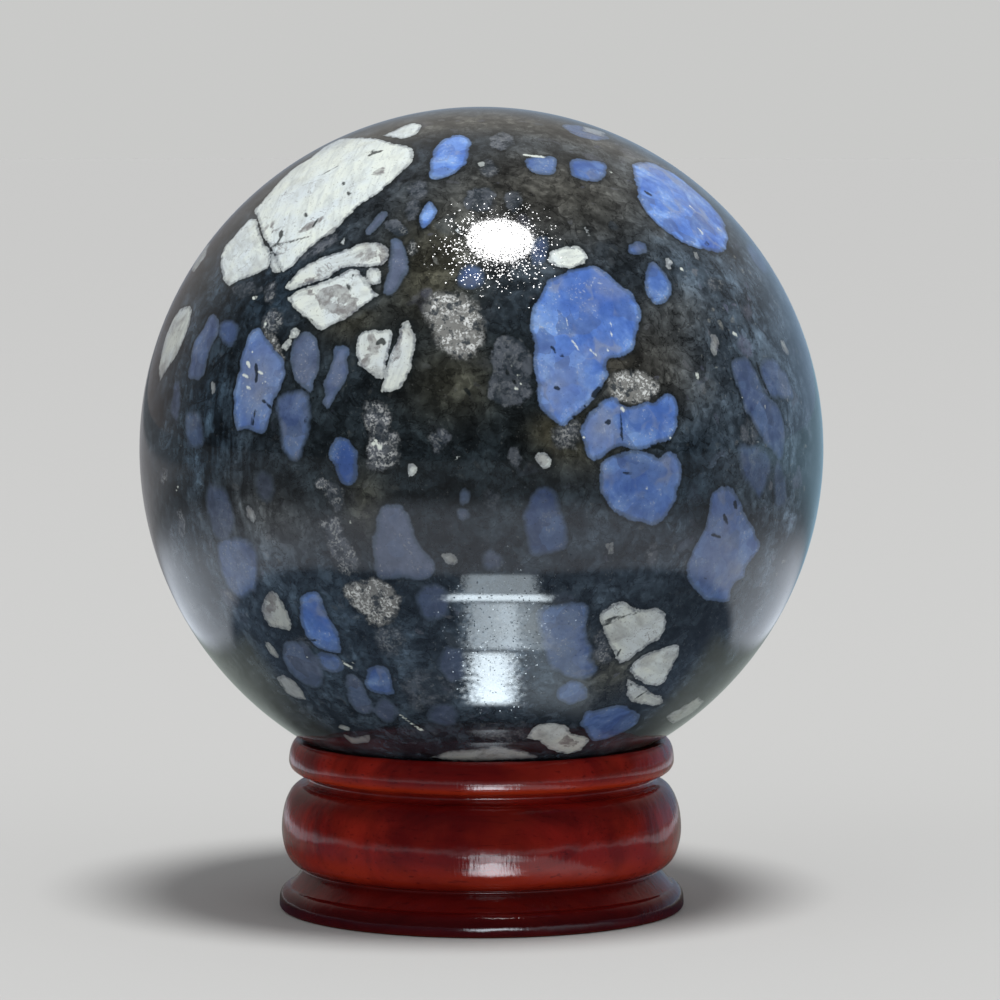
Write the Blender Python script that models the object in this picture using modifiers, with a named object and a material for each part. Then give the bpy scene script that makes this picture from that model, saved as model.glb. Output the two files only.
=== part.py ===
"""A polished stone ball on its turned wooden ring stand.

The ball rests by its own weight in the dished seat of the stand, and can be lifted off. The stand is a
single turned ring: a rounded lip, a narrow groove, a full belly, a neck and a flared foot, with a plain
bore through it below the ball. Units are metres and +Z is up. The origin is the centre of the stand's
underside, on the surface that it stands on.
"""

import math

import bmesh
import bpy

# Ball
BALL_RADIUS = 0.0325
BALL_SEGMENTS = 64
BALL_RINGS = 32

# Seat: a dish that follows the ball, from the bore out to the rim
BALL_CLEARANCE = 0.0003
SEAT_ANGLE = math.radians(32.45)  # from the axis to the rim, at the ball's centre
SEAT_WIDTH = 0.0046
BORE_CHAMFER = 0.0005

# Heights of the mouldings, from the lip down to the foot
LIP_CROWN_HEIGHT = 0.0020
LIP_UNDERSIDE_HEIGHT = 0.00125
GROOVE_HEIGHT = 0.0009
BELLY_UPPER_HEIGHT = 0.0044
BELLY_LOWER_HEIGHT = 0.00365
NECK_HEIGHT = 0.00025
FLARE_HEIGHT = 0.0015
FOOT_SHOULDER_HEIGHT = 0.00135
FOOT_SIDE_HEIGHT = 0.00045
FOOT_EDGE_ROUND = 0.0004

# How far the mouldings stand out
LIP_PROJECTION = 0.00085  # lip beyond the rim
LIP_OVERHANG = 0.00135  # lip beyond the mouth of the groove
GROOVE_DEPTH = 0.00055  # groove below its mouth
BELLY_PROJECTION = 0.00205  # belly beyond the mouth of the groove
NECK_DEPTH = 0.00205  # neck below the belly
FLARE_PROJECTION = 0.00125  # top of the foot beyond the neck
FOOT_SHOULDER_ROUND = 0.00105

# Turning
STAND_STEPS = 72
MERGE_DISTANCE = 0.000001

# Finishes: base colour, roughness, metallic
STONE_FINISH = ((0.030, 0.034, 0.036), 0.08, 0.0)
WOOD_FINISH = ((0.130, 0.010, 0.008), 0.18, 0.0)


def clear_scene():
    """Removes whatever objects the file was opened with."""
    for thing in list(bpy.data.objects):
        bpy.data.objects.remove(thing, do_unlink=True)


def make_material(name, finish):
    """Makes a plain Principled material from a colour, a roughness and a metallic value."""
    colour, roughness, metallic = finish
    material = bpy.data.materials.new(name)
    material.use_nodes = True
    shader = material.node_tree.nodes["Principled BSDF"]
    shader.inputs["Base Color"].default_value = (*colour, 1.0)
    shader.inputs["Roughness"].default_value = roughness
    shader.inputs["Metallic"].default_value = metallic
    return material


def arc(centre, radii, start, end, steps):
    """Points on an ellipse about centre, from one angle to another in degrees, with both ends."""
    points = []
    for step in range(steps + 1):
        angle = math.radians(start + (end - start) * step / steps)
        points.append((centre[0] + radii[0] * math.cos(angle), centre[1] + radii[1] * math.sin(angle)))
    return points


def seat_radius():
    """Radius of the dish, which clears the ball all round."""
    return BALL_RADIUS + BALL_CLEARANCE


def rim_radius():
    """Radius of the seat's outer edge."""
    return seat_radius() * math.sin(SEAT_ANGLE)


def stand_height():
    """Height of the rim above the table: the mouldings one on the other."""
    return (
        LIP_CROWN_HEIGHT
        + LIP_UNDERSIDE_HEIGHT
        + GROOVE_HEIGHT
        + BELLY_UPPER_HEIGHT
        + BELLY_LOWER_HEIGHT
        + NECK_HEIGHT
        + FLARE_HEIGHT
        + FOOT_SHOULDER_HEIGHT
        + FOOT_SIDE_HEIGHT
        + FOOT_EDGE_ROUND
    )


def ball_height():
    """Height of the ball's centre, which is also the centre of the dish."""
    return stand_height() + seat_radius() * math.cos(SEAT_ANGLE)


def stand_profile():
    """Closed outline of the ring as radius and height: down the outside, in below, up the bore, over the seat."""
    rim = rim_radius()
    lip = rim + LIP_PROJECTION
    lip_z = stand_height() - LIP_CROWN_HEIGHT
    mouth = lip - LIP_OVERHANG
    groove_z = lip_z - LIP_UNDERSIDE_HEIGHT - GROOVE_HEIGHT / 2
    belly = mouth + BELLY_PROJECTION
    belly_z = groove_z - GROOVE_HEIGHT / 2 - BELLY_UPPER_HEIGHT
    neck = belly - NECK_DEPTH
    neck_z = belly_z - BELLY_LOWER_HEIGHT - NECK_HEIGHT
    shoulder = neck + FLARE_PROJECTION
    side_z = neck_z - FLARE_HEIGHT - FOOT_SHOULDER_HEIGHT
    side = shoulder + FOOT_SHOULDER_ROUND
    bore = rim - SEAT_WIDTH
    bore_angle = math.degrees(math.asin(bore / seat_radius()))

    outline = arc((rim, lip_z), (LIP_PROJECTION, LIP_CROWN_HEIGHT), 90, 0, 4)
    outline += arc((mouth, lip_z), (LIP_OVERHANG, LIP_UNDERSIDE_HEIGHT), 0, -90, 4)[1:]
    outline += arc((mouth, groove_z), (GROOVE_DEPTH, GROOVE_HEIGHT / 2), 90, 270, 4)[1:]
    outline += arc((mouth, belly_z), (BELLY_PROJECTION, BELLY_UPPER_HEIGHT), 90, 0, 6)[1:]
    outline += arc((neck, belly_z), (NECK_DEPTH, BELLY_LOWER_HEIGHT), 0, -90, 6)[1:]
    outline += [(neck, neck_z)]
    outline += arc((shoulder, side_z), (FOOT_SHOULDER_ROUND, FOOT_SHOULDER_HEIGHT), 90, 0, 4)
    outline += arc((side - FOOT_EDGE_ROUND, FOOT_EDGE_ROUND), (FOOT_EDGE_ROUND, FOOT_EDGE_ROUND), 0, -90, 2)
    outline += [(bore + BORE_CHAMFER, 0.0), (bore, BORE_CHAMFER)]
    seat = arc((0.0, ball_height()), (seat_radius(), seat_radius()), bore_angle - 90,
               math.degrees(SEAT_ANGLE) - 90, 4)
    return outline + seat[:-1]


def build_ball(collection, material):
    """Makes the ball where it rests on the stand."""
    bpy.ops.mesh.primitive_uv_sphere_add(
        segments=BALL_SEGMENTS,
        ring_count=BALL_RINGS,
        radius=BALL_RADIUS,
        location=(0.0, 0.0, ball_height()),
    )
    ball = bpy.context.object
    ball.name = "stone_ball"
    ball.data.name = "stone_ball"
    ball.data.shade_smooth()
    ball.data.materials.append(material)
    for other in list(ball.users_collection):
        other.objects.unlink(ball)
    collection.objects.link(ball)
    return ball


def build_stand(collection, material):
    """Turns the ring stand from its outline."""
    mesh = bpy.data.meshes.new("ring_stand")
    outline = bmesh.new()
    corners = [outline.verts.new((radius, 0.0, height)) for radius, height in stand_profile()]
    for first, second in zip(corners, corners[1:] + corners[:1]):
        outline.edges.new((first, second))
    outline.to_mesh(mesh)
    outline.free()
    mesh.materials.append(material)

    stand = bpy.data.objects.new("ring_stand", mesh)
    collection.objects.link(stand)
    turning = stand.modifiers.new("turning", "SCREW")
    turning.axis = "Z"
    turning.angle = math.tau
    turning.steps = STAND_STEPS
    turning.render_steps = STAND_STEPS
    turning.use_smooth_shade = True
    turning.use_merge_vertices = True
    turning.merge_threshold = MERGE_DISTANCE
    return stand


def main():
    """Builds the ball and its stand in one collection."""
    clear_scene()
    collection = bpy.data.collections.new("decorative_sphere")
    bpy.context.scene.collection.children.link(collection)
    build_ball(collection, make_material("stone", STONE_FINISH))
    build_stand(collection, make_material("stained_wood", WOOD_FINISH))


main()
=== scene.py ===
"""Looks of a polished stone ball on its turned, lacquered ring stand.

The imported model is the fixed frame. Both of its solids are replaced by finer meshes in the same place: the
ball, whose minerals are painted on it as attributes, and the ring, turned from the same outline. Sizes are
in metres, except where a name ends in _mm or _px. Pixels are those of the 1000 by 1000 picture.
"""

import logging
import math
from dataclasses import dataclass, field
from enum import Enum
from functools import reduce

import bmesh
import bpy
import numpy as np
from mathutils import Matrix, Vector, noise


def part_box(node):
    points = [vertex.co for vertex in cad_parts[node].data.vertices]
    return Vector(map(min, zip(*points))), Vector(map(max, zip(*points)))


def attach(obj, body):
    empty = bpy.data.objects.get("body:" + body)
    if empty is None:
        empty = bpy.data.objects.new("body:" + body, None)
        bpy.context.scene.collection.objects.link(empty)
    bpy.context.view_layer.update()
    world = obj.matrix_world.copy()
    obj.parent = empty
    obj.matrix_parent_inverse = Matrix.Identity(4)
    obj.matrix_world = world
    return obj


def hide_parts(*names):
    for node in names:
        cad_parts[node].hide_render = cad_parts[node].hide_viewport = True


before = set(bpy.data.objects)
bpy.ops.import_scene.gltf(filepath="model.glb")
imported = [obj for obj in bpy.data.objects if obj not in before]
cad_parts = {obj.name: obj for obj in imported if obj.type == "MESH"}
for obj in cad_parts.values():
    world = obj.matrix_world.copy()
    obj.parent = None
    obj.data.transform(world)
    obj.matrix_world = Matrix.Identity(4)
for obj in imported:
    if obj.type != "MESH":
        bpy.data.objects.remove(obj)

LOG = logging.getLogger("decorative_sphere")
MM = 0.001
TINY = 1e-12
Pixel = tuple[float, float]
Colour = tuple[float, float, float]


class Mineral(Enum):
    """The kinds of inclusion in the stone."""

    CLUSTER = "cluster"
    QUARTZ = "quartz"
    FELDSPAR = "feldspar"


class Trace(Enum):
    """The kinds of small mark drawn over the inclusions."""

    DARK = "dark"
    LIGHT = "light"
    STAIN = "stain"


class Rock(Enum):
    """The shades of the rock between the inclusions."""

    BASE = "base"
    INK = "ink"
    UMBER = "umber"
    OLIVE = "olive"
    SLATE = "slate"
    TEAL = "teal"


@dataclass(frozen=True)
class Inclusion:
    """One mineral grain, outlined where it shows on the ball.

    tint runs from -1, dull, to 1, bright. veil is how far the dark rock hides the grain, and soft_mm is
    how wide its edge fades.
    """

    mineral: Mineral
    outline: tuple[Pixel, ...]
    tint: float = 0.0
    veil: float = 0.0
    soft_mm: float = 0.07
    rounded: bool = True


@dataclass(frozen=True)
class Mark:
    """A crack, pit, bright line or stain, drawn from one place in the picture to the next."""

    kind: Trace
    width_px: float
    path: tuple[Pixel, ...]


@dataclass(frozen=True)
class Zone:
    """A soft patch of another shade in the dark rock, centred on a place in the picture."""

    rock: Rock
    centre: Pixel
    size: Pixel
    strength: float


@dataclass(frozen=True)
class Patch:
    """A soft patch where the rock is streaked, the polish sparkles, or blue grains are paler or deeper."""

    centre: Pixel
    size: Pixel
    strength: float


def pairs(numbers: tuple[float, ...]) -> tuple[Pixel, ...]:
    """Pairs up numbers that are x and y in turn."""
    return tuple(zip(numbers[::2], numbers[1::2]))


def oval(x: float, y: float, width: float, height: float, lean: float = 0.0, wander: float = 0.22,
         steps: int = 12) -> tuple[float, ...]:
    """Outlines an uneven oval in the picture.

    Args:
        x, y: centre, in pixels.
        width, height: size before it leans, in pixels.
        lean: turn clockwise, in degrees.
        wander: how uneven the outline is, as a share of its size.
        steps: number of corners.

    Returns:
        The corners of the outline, x and y in turn.
    """
    turn = math.radians(lean)
    corners = []
    for step in range(steps):
        angle = math.tau * step / steps
        place = Vector((x * 0.37 + 2 * math.cos(angle), y * 0.41, 2 * math.sin(angle)))
        uneven = 1 + wander * noise.noise(place)
        across = width / 2 * math.cos(angle) * uneven
        down = height / 2 * math.sin(angle) * uneven
        corners += [x + across * math.cos(turn) - down * math.sin(turn),
                    y + across * math.sin(turn) + down * math.cos(turn)]
    return tuple(corners)


def feldspar(*outline: float, tint: float = 0.0, veil: float = 0.0, soft_mm: float = 0.05) -> Inclusion:
    """Makes a pale, angular grain from its corners, x and y in turn."""
    return Inclusion(Mineral.FELDSPAR, pairs(outline), tint, veil, soft_mm, rounded=False)


def quartz(*outline: float, tint: float = 0.0, veil: float = 0.0, soft_mm: float = 0.09) -> Inclusion:
    """Makes a blue, rounded grain from points on its edge, x and y in turn."""
    return Inclusion(Mineral.QUARTZ, pairs(outline), tint, veil, soft_mm)


def cluster(*outline: float, tint: float = 0.0, veil: float = 0.0, soft_mm: float = 0.35) -> Inclusion:
    """Makes a grey, speckled cluster of small crystals from points on its edge, x and y in turn."""
    return Inclusion(Mineral.CLUSTER, pairs(outline), tint, veil, soft_mm)


def dark(width_px: float, *path: float) -> Mark:
    """Draws a dark crack or pit from its width and its points, x and y in turn."""
    return Mark(Trace.DARK, width_px, pairs(path))


def light(width_px: float, *path: float) -> Mark:
    """Draws a bright line or speck from its width and its points, x and y in turn."""
    return Mark(Trace.LIGHT, width_px, pairs(path))


def stain(width_px: float, *path: float) -> Mark:
    """Draws a grey-brown stain from its width and its points, x and y in turn."""
    return Mark(Trace.STAIN, width_px, pairs(path))


# Pale grains, from the top of the picture down
FELDSPARS = (
    feldspar(254, 210, 260, 204, 269, 194, 280, 181, 294, 168, 311, 158, 326, 146, 340, 139, 355, 138,
             378, 139, 395, 144, 406, 145, 412, 149, 414, 156, 411, 162, 404, 169, 394, 179, 381, 191,
             369, 199, 358, 207, 346, 218, 336, 228, 326, 236, 314, 244, 301, 256, 292, 266, 283, 272,
             279, 266, 276, 256, 272, 248, 266, 241, 261, 231, 259, 221, tint=0.85),
    feldspar(249, 219, 256, 219, 259, 228, 261, 236, 265, 245, 270, 250, 270, 261, 268, 268, 260, 272,
             249, 276, 240, 280, 229, 286, 224, 279, 221, 268, 221, 255, 226, 245, 233, 238, 240, 229,
             tint=0.5),
    feldspar(272, 250, 275, 256, 279, 263, 281, 272, 274, 273, 271, 266, tint=0.1, veil=0.1),
    feldspar(382, 136, 394, 131, 404, 126, 412, 123, 421, 124, 422, 129, 413, 136, 401, 139, tint=0.3),
    feldspar(284, 289, 291, 279, 301, 269, 311, 263, 326, 256, 340, 251, 350, 249, 357, 245, 369, 243,
             380, 243, 388, 249, 388, 258, 382, 265, 370, 267, 352, 266, 341, 269, 326, 279, 309, 284,
             292, 290, tint=-0.05),
    feldspar(287, 298, 297, 291, 311, 286, 326, 281, 340, 275, 350, 268, 359, 271, 364, 278, 369, 285,
             379, 295, 371, 301, 360, 308, 346, 318, 331, 325, 320, 331, 311, 322, 303, 316, 294, 308,
             tint=0.05),
    feldspar(367, 271, 371, 267, 378, 268, 382, 275, 381, 283, 374, 286, 368, 281, tint=-0.1),
    feldspar(356, 338, 362, 331, 375, 330, 390, 330, 393, 334, 392, 342, 389, 354, 386, 366, 383, 379,
             376, 377, 366, 370, 358, 364, 356, 350, tint=-0.15),
    feldspar(394, 345, 397, 341, 399, 336, 399, 328, 407, 326, 414, 333, 416, 339, 415, 348, 413, 357,
             411, 367, 407, 378, 401, 388, 391, 391, 383, 393, 381, 389, 384, 381, 385, 371, 388, 361,
             tint=-0.1),
    feldspar(289, 330, 295, 328, 301, 329, 297, 338, 290, 338, tint=0.1),
    feldspar(281, 347, 286, 341, 291, 339, 292, 344, 286, 352, tint=-0.2),
    feldspar(401, 324, 408, 321, 411, 327, 404, 331, tint=0.1),
    feldspar(172, 321, 180, 309, 188, 306, 192, 308, 190, 321, 186, 334, 181, 347, 172, 362, 164, 374,
             160, 381, 159, 367, 162, 352, 166, 336, tint=-0.2, veil=0.1),
    feldspar(210, 243, 206, 256, 194, 272, 191, 270, 200, 252, tint=-0.2, veil=0.35),
    feldspar(549, 251, 559, 248, 576, 246, 584, 249, 588, 258, 584, 265, 572, 268, 555, 267, 549, 261,
             tint=0.9),
    feldspar(454, 228, 457, 225, 462, 234, 459, 237, tint=0.4),
    feldspar(599, 614, 604, 609, 613, 604, 621, 601, 627, 604, 635, 609, 647, 610, 655, 608, 663, 611,
             666, 616, 667, 623, 664, 632, 659, 639, 649, 644, 642, 650, 635, 654, 628, 660, 620, 663,
             615, 656, 612, 648, 608, 640, 602, 626, tint=-0.1, veil=0.08),
    feldspar(628, 670, 634, 663, 642, 656, 655, 651, 667, 647, 675, 645, 679, 646, 678, 655, 672, 666,
             668, 675, 664, 683, 657, 686, 646, 684, 636, 679, veil=0.05),
    feldspar(627, 678, 635, 683, 644, 687, 652, 694, 661, 696, 663, 702, 657, 706, 643, 704, 632, 701,
             627, 694, tint=-0.15, veil=0.08),
    feldspar(527, 738, 532, 729, 540, 724, 556, 723, 566, 726, 571, 733, 583, 736, 590, 739, 585, 745,
             580, 751, 566, 754, 557, 752, 545, 746, 540, 741, tint=-0.25, veil=0.1),
    feldspar(430, 757, 452, 751, 480, 749, 497, 746, 520, 750, 541, 757, 500, 760, 455, 761, tint=-0.6,
             veil=0.25, soft_mm=0.15),
    feldspar(262, 613, 263, 604, 267, 596, 272, 590, 277, 594, 282, 602, 287, 612, 292, 624, 290, 630,
             279, 628, 268, 625, tint=-0.45, veil=0.2),
    feldspar(277, 677, 284, 675, 293, 680, 300, 688, 306, 699, 299, 700, 287, 693, 280, 684, tint=-0.55,
             veil=0.3),
    feldspar(339, 724, 350, 727, 348, 731, 340, 728, tint=-0.1, veil=0.2),
    feldspar(341, 733, 352, 737, 370, 735, 369, 742, 352, 744, tint=-0.7, veil=0.45),
    feldspar(246, 507, 250, 505, 256, 518, 253, 523, 248, 517, tint=-0.4, veil=0.3),
    feldspar(409, 464, 416, 465, 417, 470, 410, 478, 407, 471, tint=0.2),
    feldspar(535, 456, 541, 451, 547, 453, 552, 459, 550, 466, 544, 468, 538, 464, veil=0.12),
    feldspar(665, 260, 668, 257, 672, 262, 671, 269, 666, 268, tint=-0.1, veil=0.1),
    feldspar(441, 554, 451, 553, 459, 561, 455, 566, 446, 562, tint=-0.45, veil=0.35),
    feldspar(711, 335, 716, 334, 719, 345, 715, 358, 711, 352, tint=-0.4, veil=0.4),
    feldspar(780, 339, 784, 340, 789, 352, 788, 357, 783, 350, tint=-0.4, veil=0.45),
    feldspar(606, 545, 613, 543, 614, 553, 608, 557, tint=-0.6, veil=0.5),
    feldspar(322, 231, 331, 226, 340, 221, 334, 232, 325, 237, tint=-0.4, veil=0.2),
    feldspar(341, 243, 345, 236, 343, 245, tint=0.4),
    feldspar(583, 126, 606, 133, 603, 137, 583, 131, tint=-0.6, veil=0.4),
    feldspar(264, 641, 270, 643, 279, 655, 277, 659, 269, 652, tint=-0.4, veil=0.35),
    feldspar(584, 226, 589, 229, 591, 237, 587, 236, tint=-0.2, veil=0.3),
    feldspar(454, 458, 459, 454, 461, 457, 455, 462, tint=-0.1, veil=0.15),
    feldspar(211, 383, 215, 382, 215, 392, 212, 394, tint=-0.4, veil=0.35),
    feldspar(665, 716, 680, 708, 699, 697, 704, 702, 690, 715, 672, 724, tint=-0.4, veil=0.3),
    feldspar(694, 252, 697, 253, 699, 260, 695, 258, tint=-0.3, veil=0.3),
    feldspar(477, 163, 484, 162, 485, 166, 479, 167, veil=0.2),
)

# Blue grains
QUARTZES = (
    quartz(532, 325, 534, 312, 537, 301, 544, 289, 549, 280, 556, 275, 566, 271, 579, 267, 592, 265,
           602, 270, 612, 279, 624, 288, 634, 297, 639, 309, 639, 322, 636, 337, 631, 349, 622, 356,
           610, 360, 607, 370, 605, 380, 598, 392, 588, 403, 582, 410, 573, 417, 563, 425, 551, 420,
           546, 414, 540, 408, 538, 398, 536, 380, 534, 352, tint=0.5),
    quartz(581, 427, 586, 418, 594, 411, 602, 402, 606, 398, 614, 397, 620, 402, 631, 406, 645, 403,
           656, 401, 665, 394, 671, 394, 677, 401, 678, 412, 676, 426, 671, 437, 664, 442, 653, 445,
           642, 449, 630, 447, 621, 446, 613, 450, 606, 455, 598, 459, 590, 458, 584, 449, tint=0.35),
    quartz(601, 469, 605, 460, 613, 454, 628, 452, 642, 452, 652, 455, 660, 459, 666, 453, 676, 454,
           680, 463, 682, 475, 680, 484, 677, 492, 676, 500, 670, 510, 664, 520, 653, 524, 639, 521,
           627, 517, 613, 509, 606, 500, 600, 489, tint=0.15, veil=0.05),
    quartz(633, 168, 638, 163, 645, 162, 655, 164, 665, 169, 676, 175, 690, 186, 705, 199, 717, 212,
           724, 222, 727, 234, 726, 247, 720, 253, 711, 252, 698, 248, 681, 242, 667, 232, 654, 221,
           644, 208, 638, 194, tint=0.9),
    quartz(449, 137, 457, 135, 466, 137, 470, 144, 470, 153, 467, 162, 460, 169, 453, 174, 444, 177,
           434, 178, 429, 173, 430, 164, 433, 154, 437, 146, tint=1.0),
    quartz(428, 202, 433, 206, 435, 214, 431, 222, 424, 229, 420, 222, 422, 213, tint=0.6),
    quartz(524, 160, 531, 157, 545, 157, 554, 158, 556, 165, 552, 174, 542, 174, 531, 171, veil=0.05),
    quartz(568, 164, 575, 159, 590, 160, 602, 162, 608, 168, 603, 177, 597, 182, 585, 180, 573, 176,
           tint=0.1, veil=0.05),
    quartz(562, 126, 577, 125, 592, 129, 605, 135, 608, 139, 595, 140, 577, 136, tint=-0.2, veil=0.1),
    quartz(647, 265, 654, 262, 661, 269, 669, 281, 670, 292, 664, 301, 654, 303, 648, 293, 645, 279,
           tint=0.25, veil=0.08),
    quartz(*oval(637, 248, 19, 15), veil=0.2),
    quartz(205, 325, 209, 316, 216, 314, 219, 323, 217, 335, 212, 346, 208, 358, 205, 371, 200, 379,
           190, 379, 188, 371, 191, 358, 194, 343, 199, 334, tint=-0.32, veil=0.12),
    quartz(221, 322, 231, 319, 239, 327, 238, 338, 231, 346, 223, 342, 219, 332, tint=-0.1, veil=0.4,
           soft_mm=0.2),
    quartz(251, 333, 258, 329, 264, 335, 271, 344, 279, 352, 284, 362, 285, 373, 281, 387, 276, 396,
           272, 406, 270, 418, 267, 430, 259, 434, 249, 430, 239, 430, 235, 421, 234, 408, 234, 396,
           237, 384, 239, 371, 241, 358, 246, 345, tint=0.1),
    quartz(297, 336, 306, 333, 315, 338, 319, 348, 321, 361, 318, 372, 313, 382, 311, 391, 304, 386,
           296, 381, 292, 369, 290, 356, 292, 344, tint=-0.45, veil=0.05),
    quartz(335, 347, 343, 345, 350, 349, 348, 360, 349, 373, 345, 383, 339, 391, 334, 401, 328, 409,
           324, 403, 325, 394, 322, 387, 326, 378, 331, 366, 333, 355, tint=-0.3, veil=0.08),
    quartz(283, 394, 293, 391, 304, 393, 309, 402, 310, 418, 309, 435, 303, 447, 299, 458, 290, 458,
           282, 447, 280, 430, 276, 412, 277, 401, tint=-0.2, veil=0.15, soft_mm=0.25),
    quartz(335, 441, 342, 438, 350, 442, 356, 454, 357, 468, 356, 479, 350, 485, 342, 483, 337, 476,
           334, 465, 330, 453, tint=0.15, veil=0.3),
    quartz(732, 366, 736, 359, 748, 358, 755, 370, 760, 384, 768, 398, 777, 404, 783, 418, 785, 440,
           784, 456, 779, 461, 768, 446, 756, 428, 746, 410, 738, 388, tint=-0.25, veil=0.22, soft_mm=0.16),
    quartz(760, 362, 768, 358, 777, 362, 786, 373, 791, 387, 793, 397, 785, 398, 773, 398, 766, 388,
           761, 375, tint=-0.2, veil=0.35, soft_mm=0.2),
    quartz(738, 448, 752, 446, 766, 450, 772, 465, 766, 482, 760, 498, 752, 490, 744, 478, tint=-0.2,
           veil=0.5, soft_mm=0.25),
    quartz(709, 501, 714, 490, 728, 487, 734, 492, 741, 501, 743, 512, 749, 522, 755, 533, 760, 543,
           755, 556, 745, 566, 745, 575, 736, 582, 731, 591, 729, 600, 720, 603, 708, 600, 697, 591,
           689, 580, 687, 568, 690, 556, 698, 540, 704, 528, 708, 514, veil=0.1),
    quartz(537, 487, 546, 485, 554, 489, 559, 498, 560, 512, 566, 524, 567, 540, 563, 550, 546, 555,
           529, 552, 526, 538, 524, 525, 523, 514, 530, 497, tint=-0.2, veil=0.48, soft_mm=0.2),
    quartz(218, 545, 228, 538, 246, 540, 257, 552, 258, 568, 254, 590, 240, 597, 228, 585, 220, 566,
           tint=-0.1, veil=0.3, soft_mm=0.3),
    quartz(304, 594, 313, 591, 319, 596, 323, 606, 331, 620, 337, 633, 341, 646, 339, 653, 328, 651,
           316, 646, 306, 634, 301, 620, 300, 607, tint=0.35, veil=0.08),
    quartz(317, 652, 328, 653, 338, 656, 343, 668, 334, 672, 322, 668, veil=0.25),
    quartz(366, 677, 369, 666, 381, 665, 389, 673, 393, 684, 394, 694, 381, 694, 369, 690, tint=0.1,
           veil=0.2),
    quartz(582, 717, 585, 711, 594, 711, 604, 709, 618, 706, 628, 707, 635, 711, 639, 717, 636, 724,
           625, 731, 615, 736, 601, 740, 591, 739, 586, 730, 581, 725, veil=0.12),
    quartz(539, 609, 556, 606, 575, 603, 587, 606, 586, 620, 588, 637, 593, 648, 590, 658, 597, 666,
           594, 674, 582, 679, 566, 676, 552, 668, 544, 650, 540, 630, tint=-0.1, veil=0.25, soft_mm=0.2),
    quartz(*oval(572, 693, 32, 24), veil=0.25),
    quartz(457, 279, 462, 268, 474, 266, 484, 275, 481, 286, 470, 289, 460, 286, veil=0.45, soft_mm=0.2),
    quartz(536, 240, 546, 236, 550, 248, 544, 262, 534, 264, 530, 252, tint=-0.3, veil=0.35, soft_mm=0.15),
    quartz(391, 239, 402, 240, 408, 256, 406, 274, 400, 286, 390, 296, 384, 292, 387, 276, 391, 256,
           tint=-0.6, veil=0.05, soft_mm=0.12),
    quartz(366, 230, 372, 222, 383, 211, 387, 216, 378, 226, 370, 233, tint=-0.7, veil=0.1, soft_mm=0.1),
    quartz(386, 507, 399, 505, 405, 511, 410, 522, 415, 535, 421, 547, 430, 556, 435, 566, 433, 574,
           424, 579, 414, 581, 405, 578, 391, 579, 378, 576, 374, 561, 373, 548, 375, 530, 380, 512,
           tint=-0.75, veil=0.12, soft_mm=0.15),
    quartz(406, 549, 420, 549, 430, 557, 435, 566, 433, 574, 424, 579, 414, 580, 407, 568, tint=-0.35,
           veil=0.25, soft_mm=0.15),
    quartz(*oval(433, 602, 36, 36, 10), tint=-0.4, veil=0.35, soft_mm=0.25),
    quartz(286, 643, 300, 641, 311, 649, 320, 661, 324, 676, 321, 687, 307, 686, 294, 677, 286, 666,
           283, 653, tint=-0.8, veil=0.25, soft_mm=0.15),
    quartz(350, 674, 357, 678, 364, 689, 371, 700, 373, 711, 364, 714, 354, 709, 349, 697, 346, 684,
           tint=-0.6, veil=0.25, soft_mm=0.15),
    quartz(*oval(386, 710, 22, 26, -30), tint=-0.5, veil=0.3, soft_mm=0.2),
    quartz(*oval(452, 664, 28, 36, -20), tint=-0.5, veil=0.4, soft_mm=0.25),
    quartz(*oval(444, 715, 30, 24, 10), tint=-0.5, veil=0.4, soft_mm=0.25),
    quartz(186, 418, 193, 413, 201, 418, 204, 432, 202, 446, 190, 446, 186, 434, tint=-0.3, veil=0.5,
           soft_mm=0.25),
    quartz(*oval(176, 402, 9, 40, 3), tint=-0.4, veil=0.5, soft_mm=0.25),
    quartz(207, 488, 222, 486, 230, 500, 234, 522, 228, 540, 216, 538, 208, 515, tint=-0.4, veil=0.45,
           soft_mm=0.3),
    quartz(*oval(264, 486, 20, 34, -8), tint=-0.6, veil=0.6, soft_mm=0.3),
    quartz(*oval(757, 258, 10, 34, -32), tint=-0.3, veil=0.5, soft_mm=0.3),
    quartz(*oval(780, 486, 12, 50, -4), tint=-0.4, veil=0.55, soft_mm=0.3),
    quartz(*oval(464, 497, 10, 17, 6), tint=-0.7, veil=0.35, soft_mm=0.15),
    quartz(*oval(463, 514, 12, 10, 6), tint=-0.7, veil=0.35, soft_mm=0.15),
    quartz(*oval(492, 561, 20, 20), tint=-0.6, veil=0.5, soft_mm=0.25),
)

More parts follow.
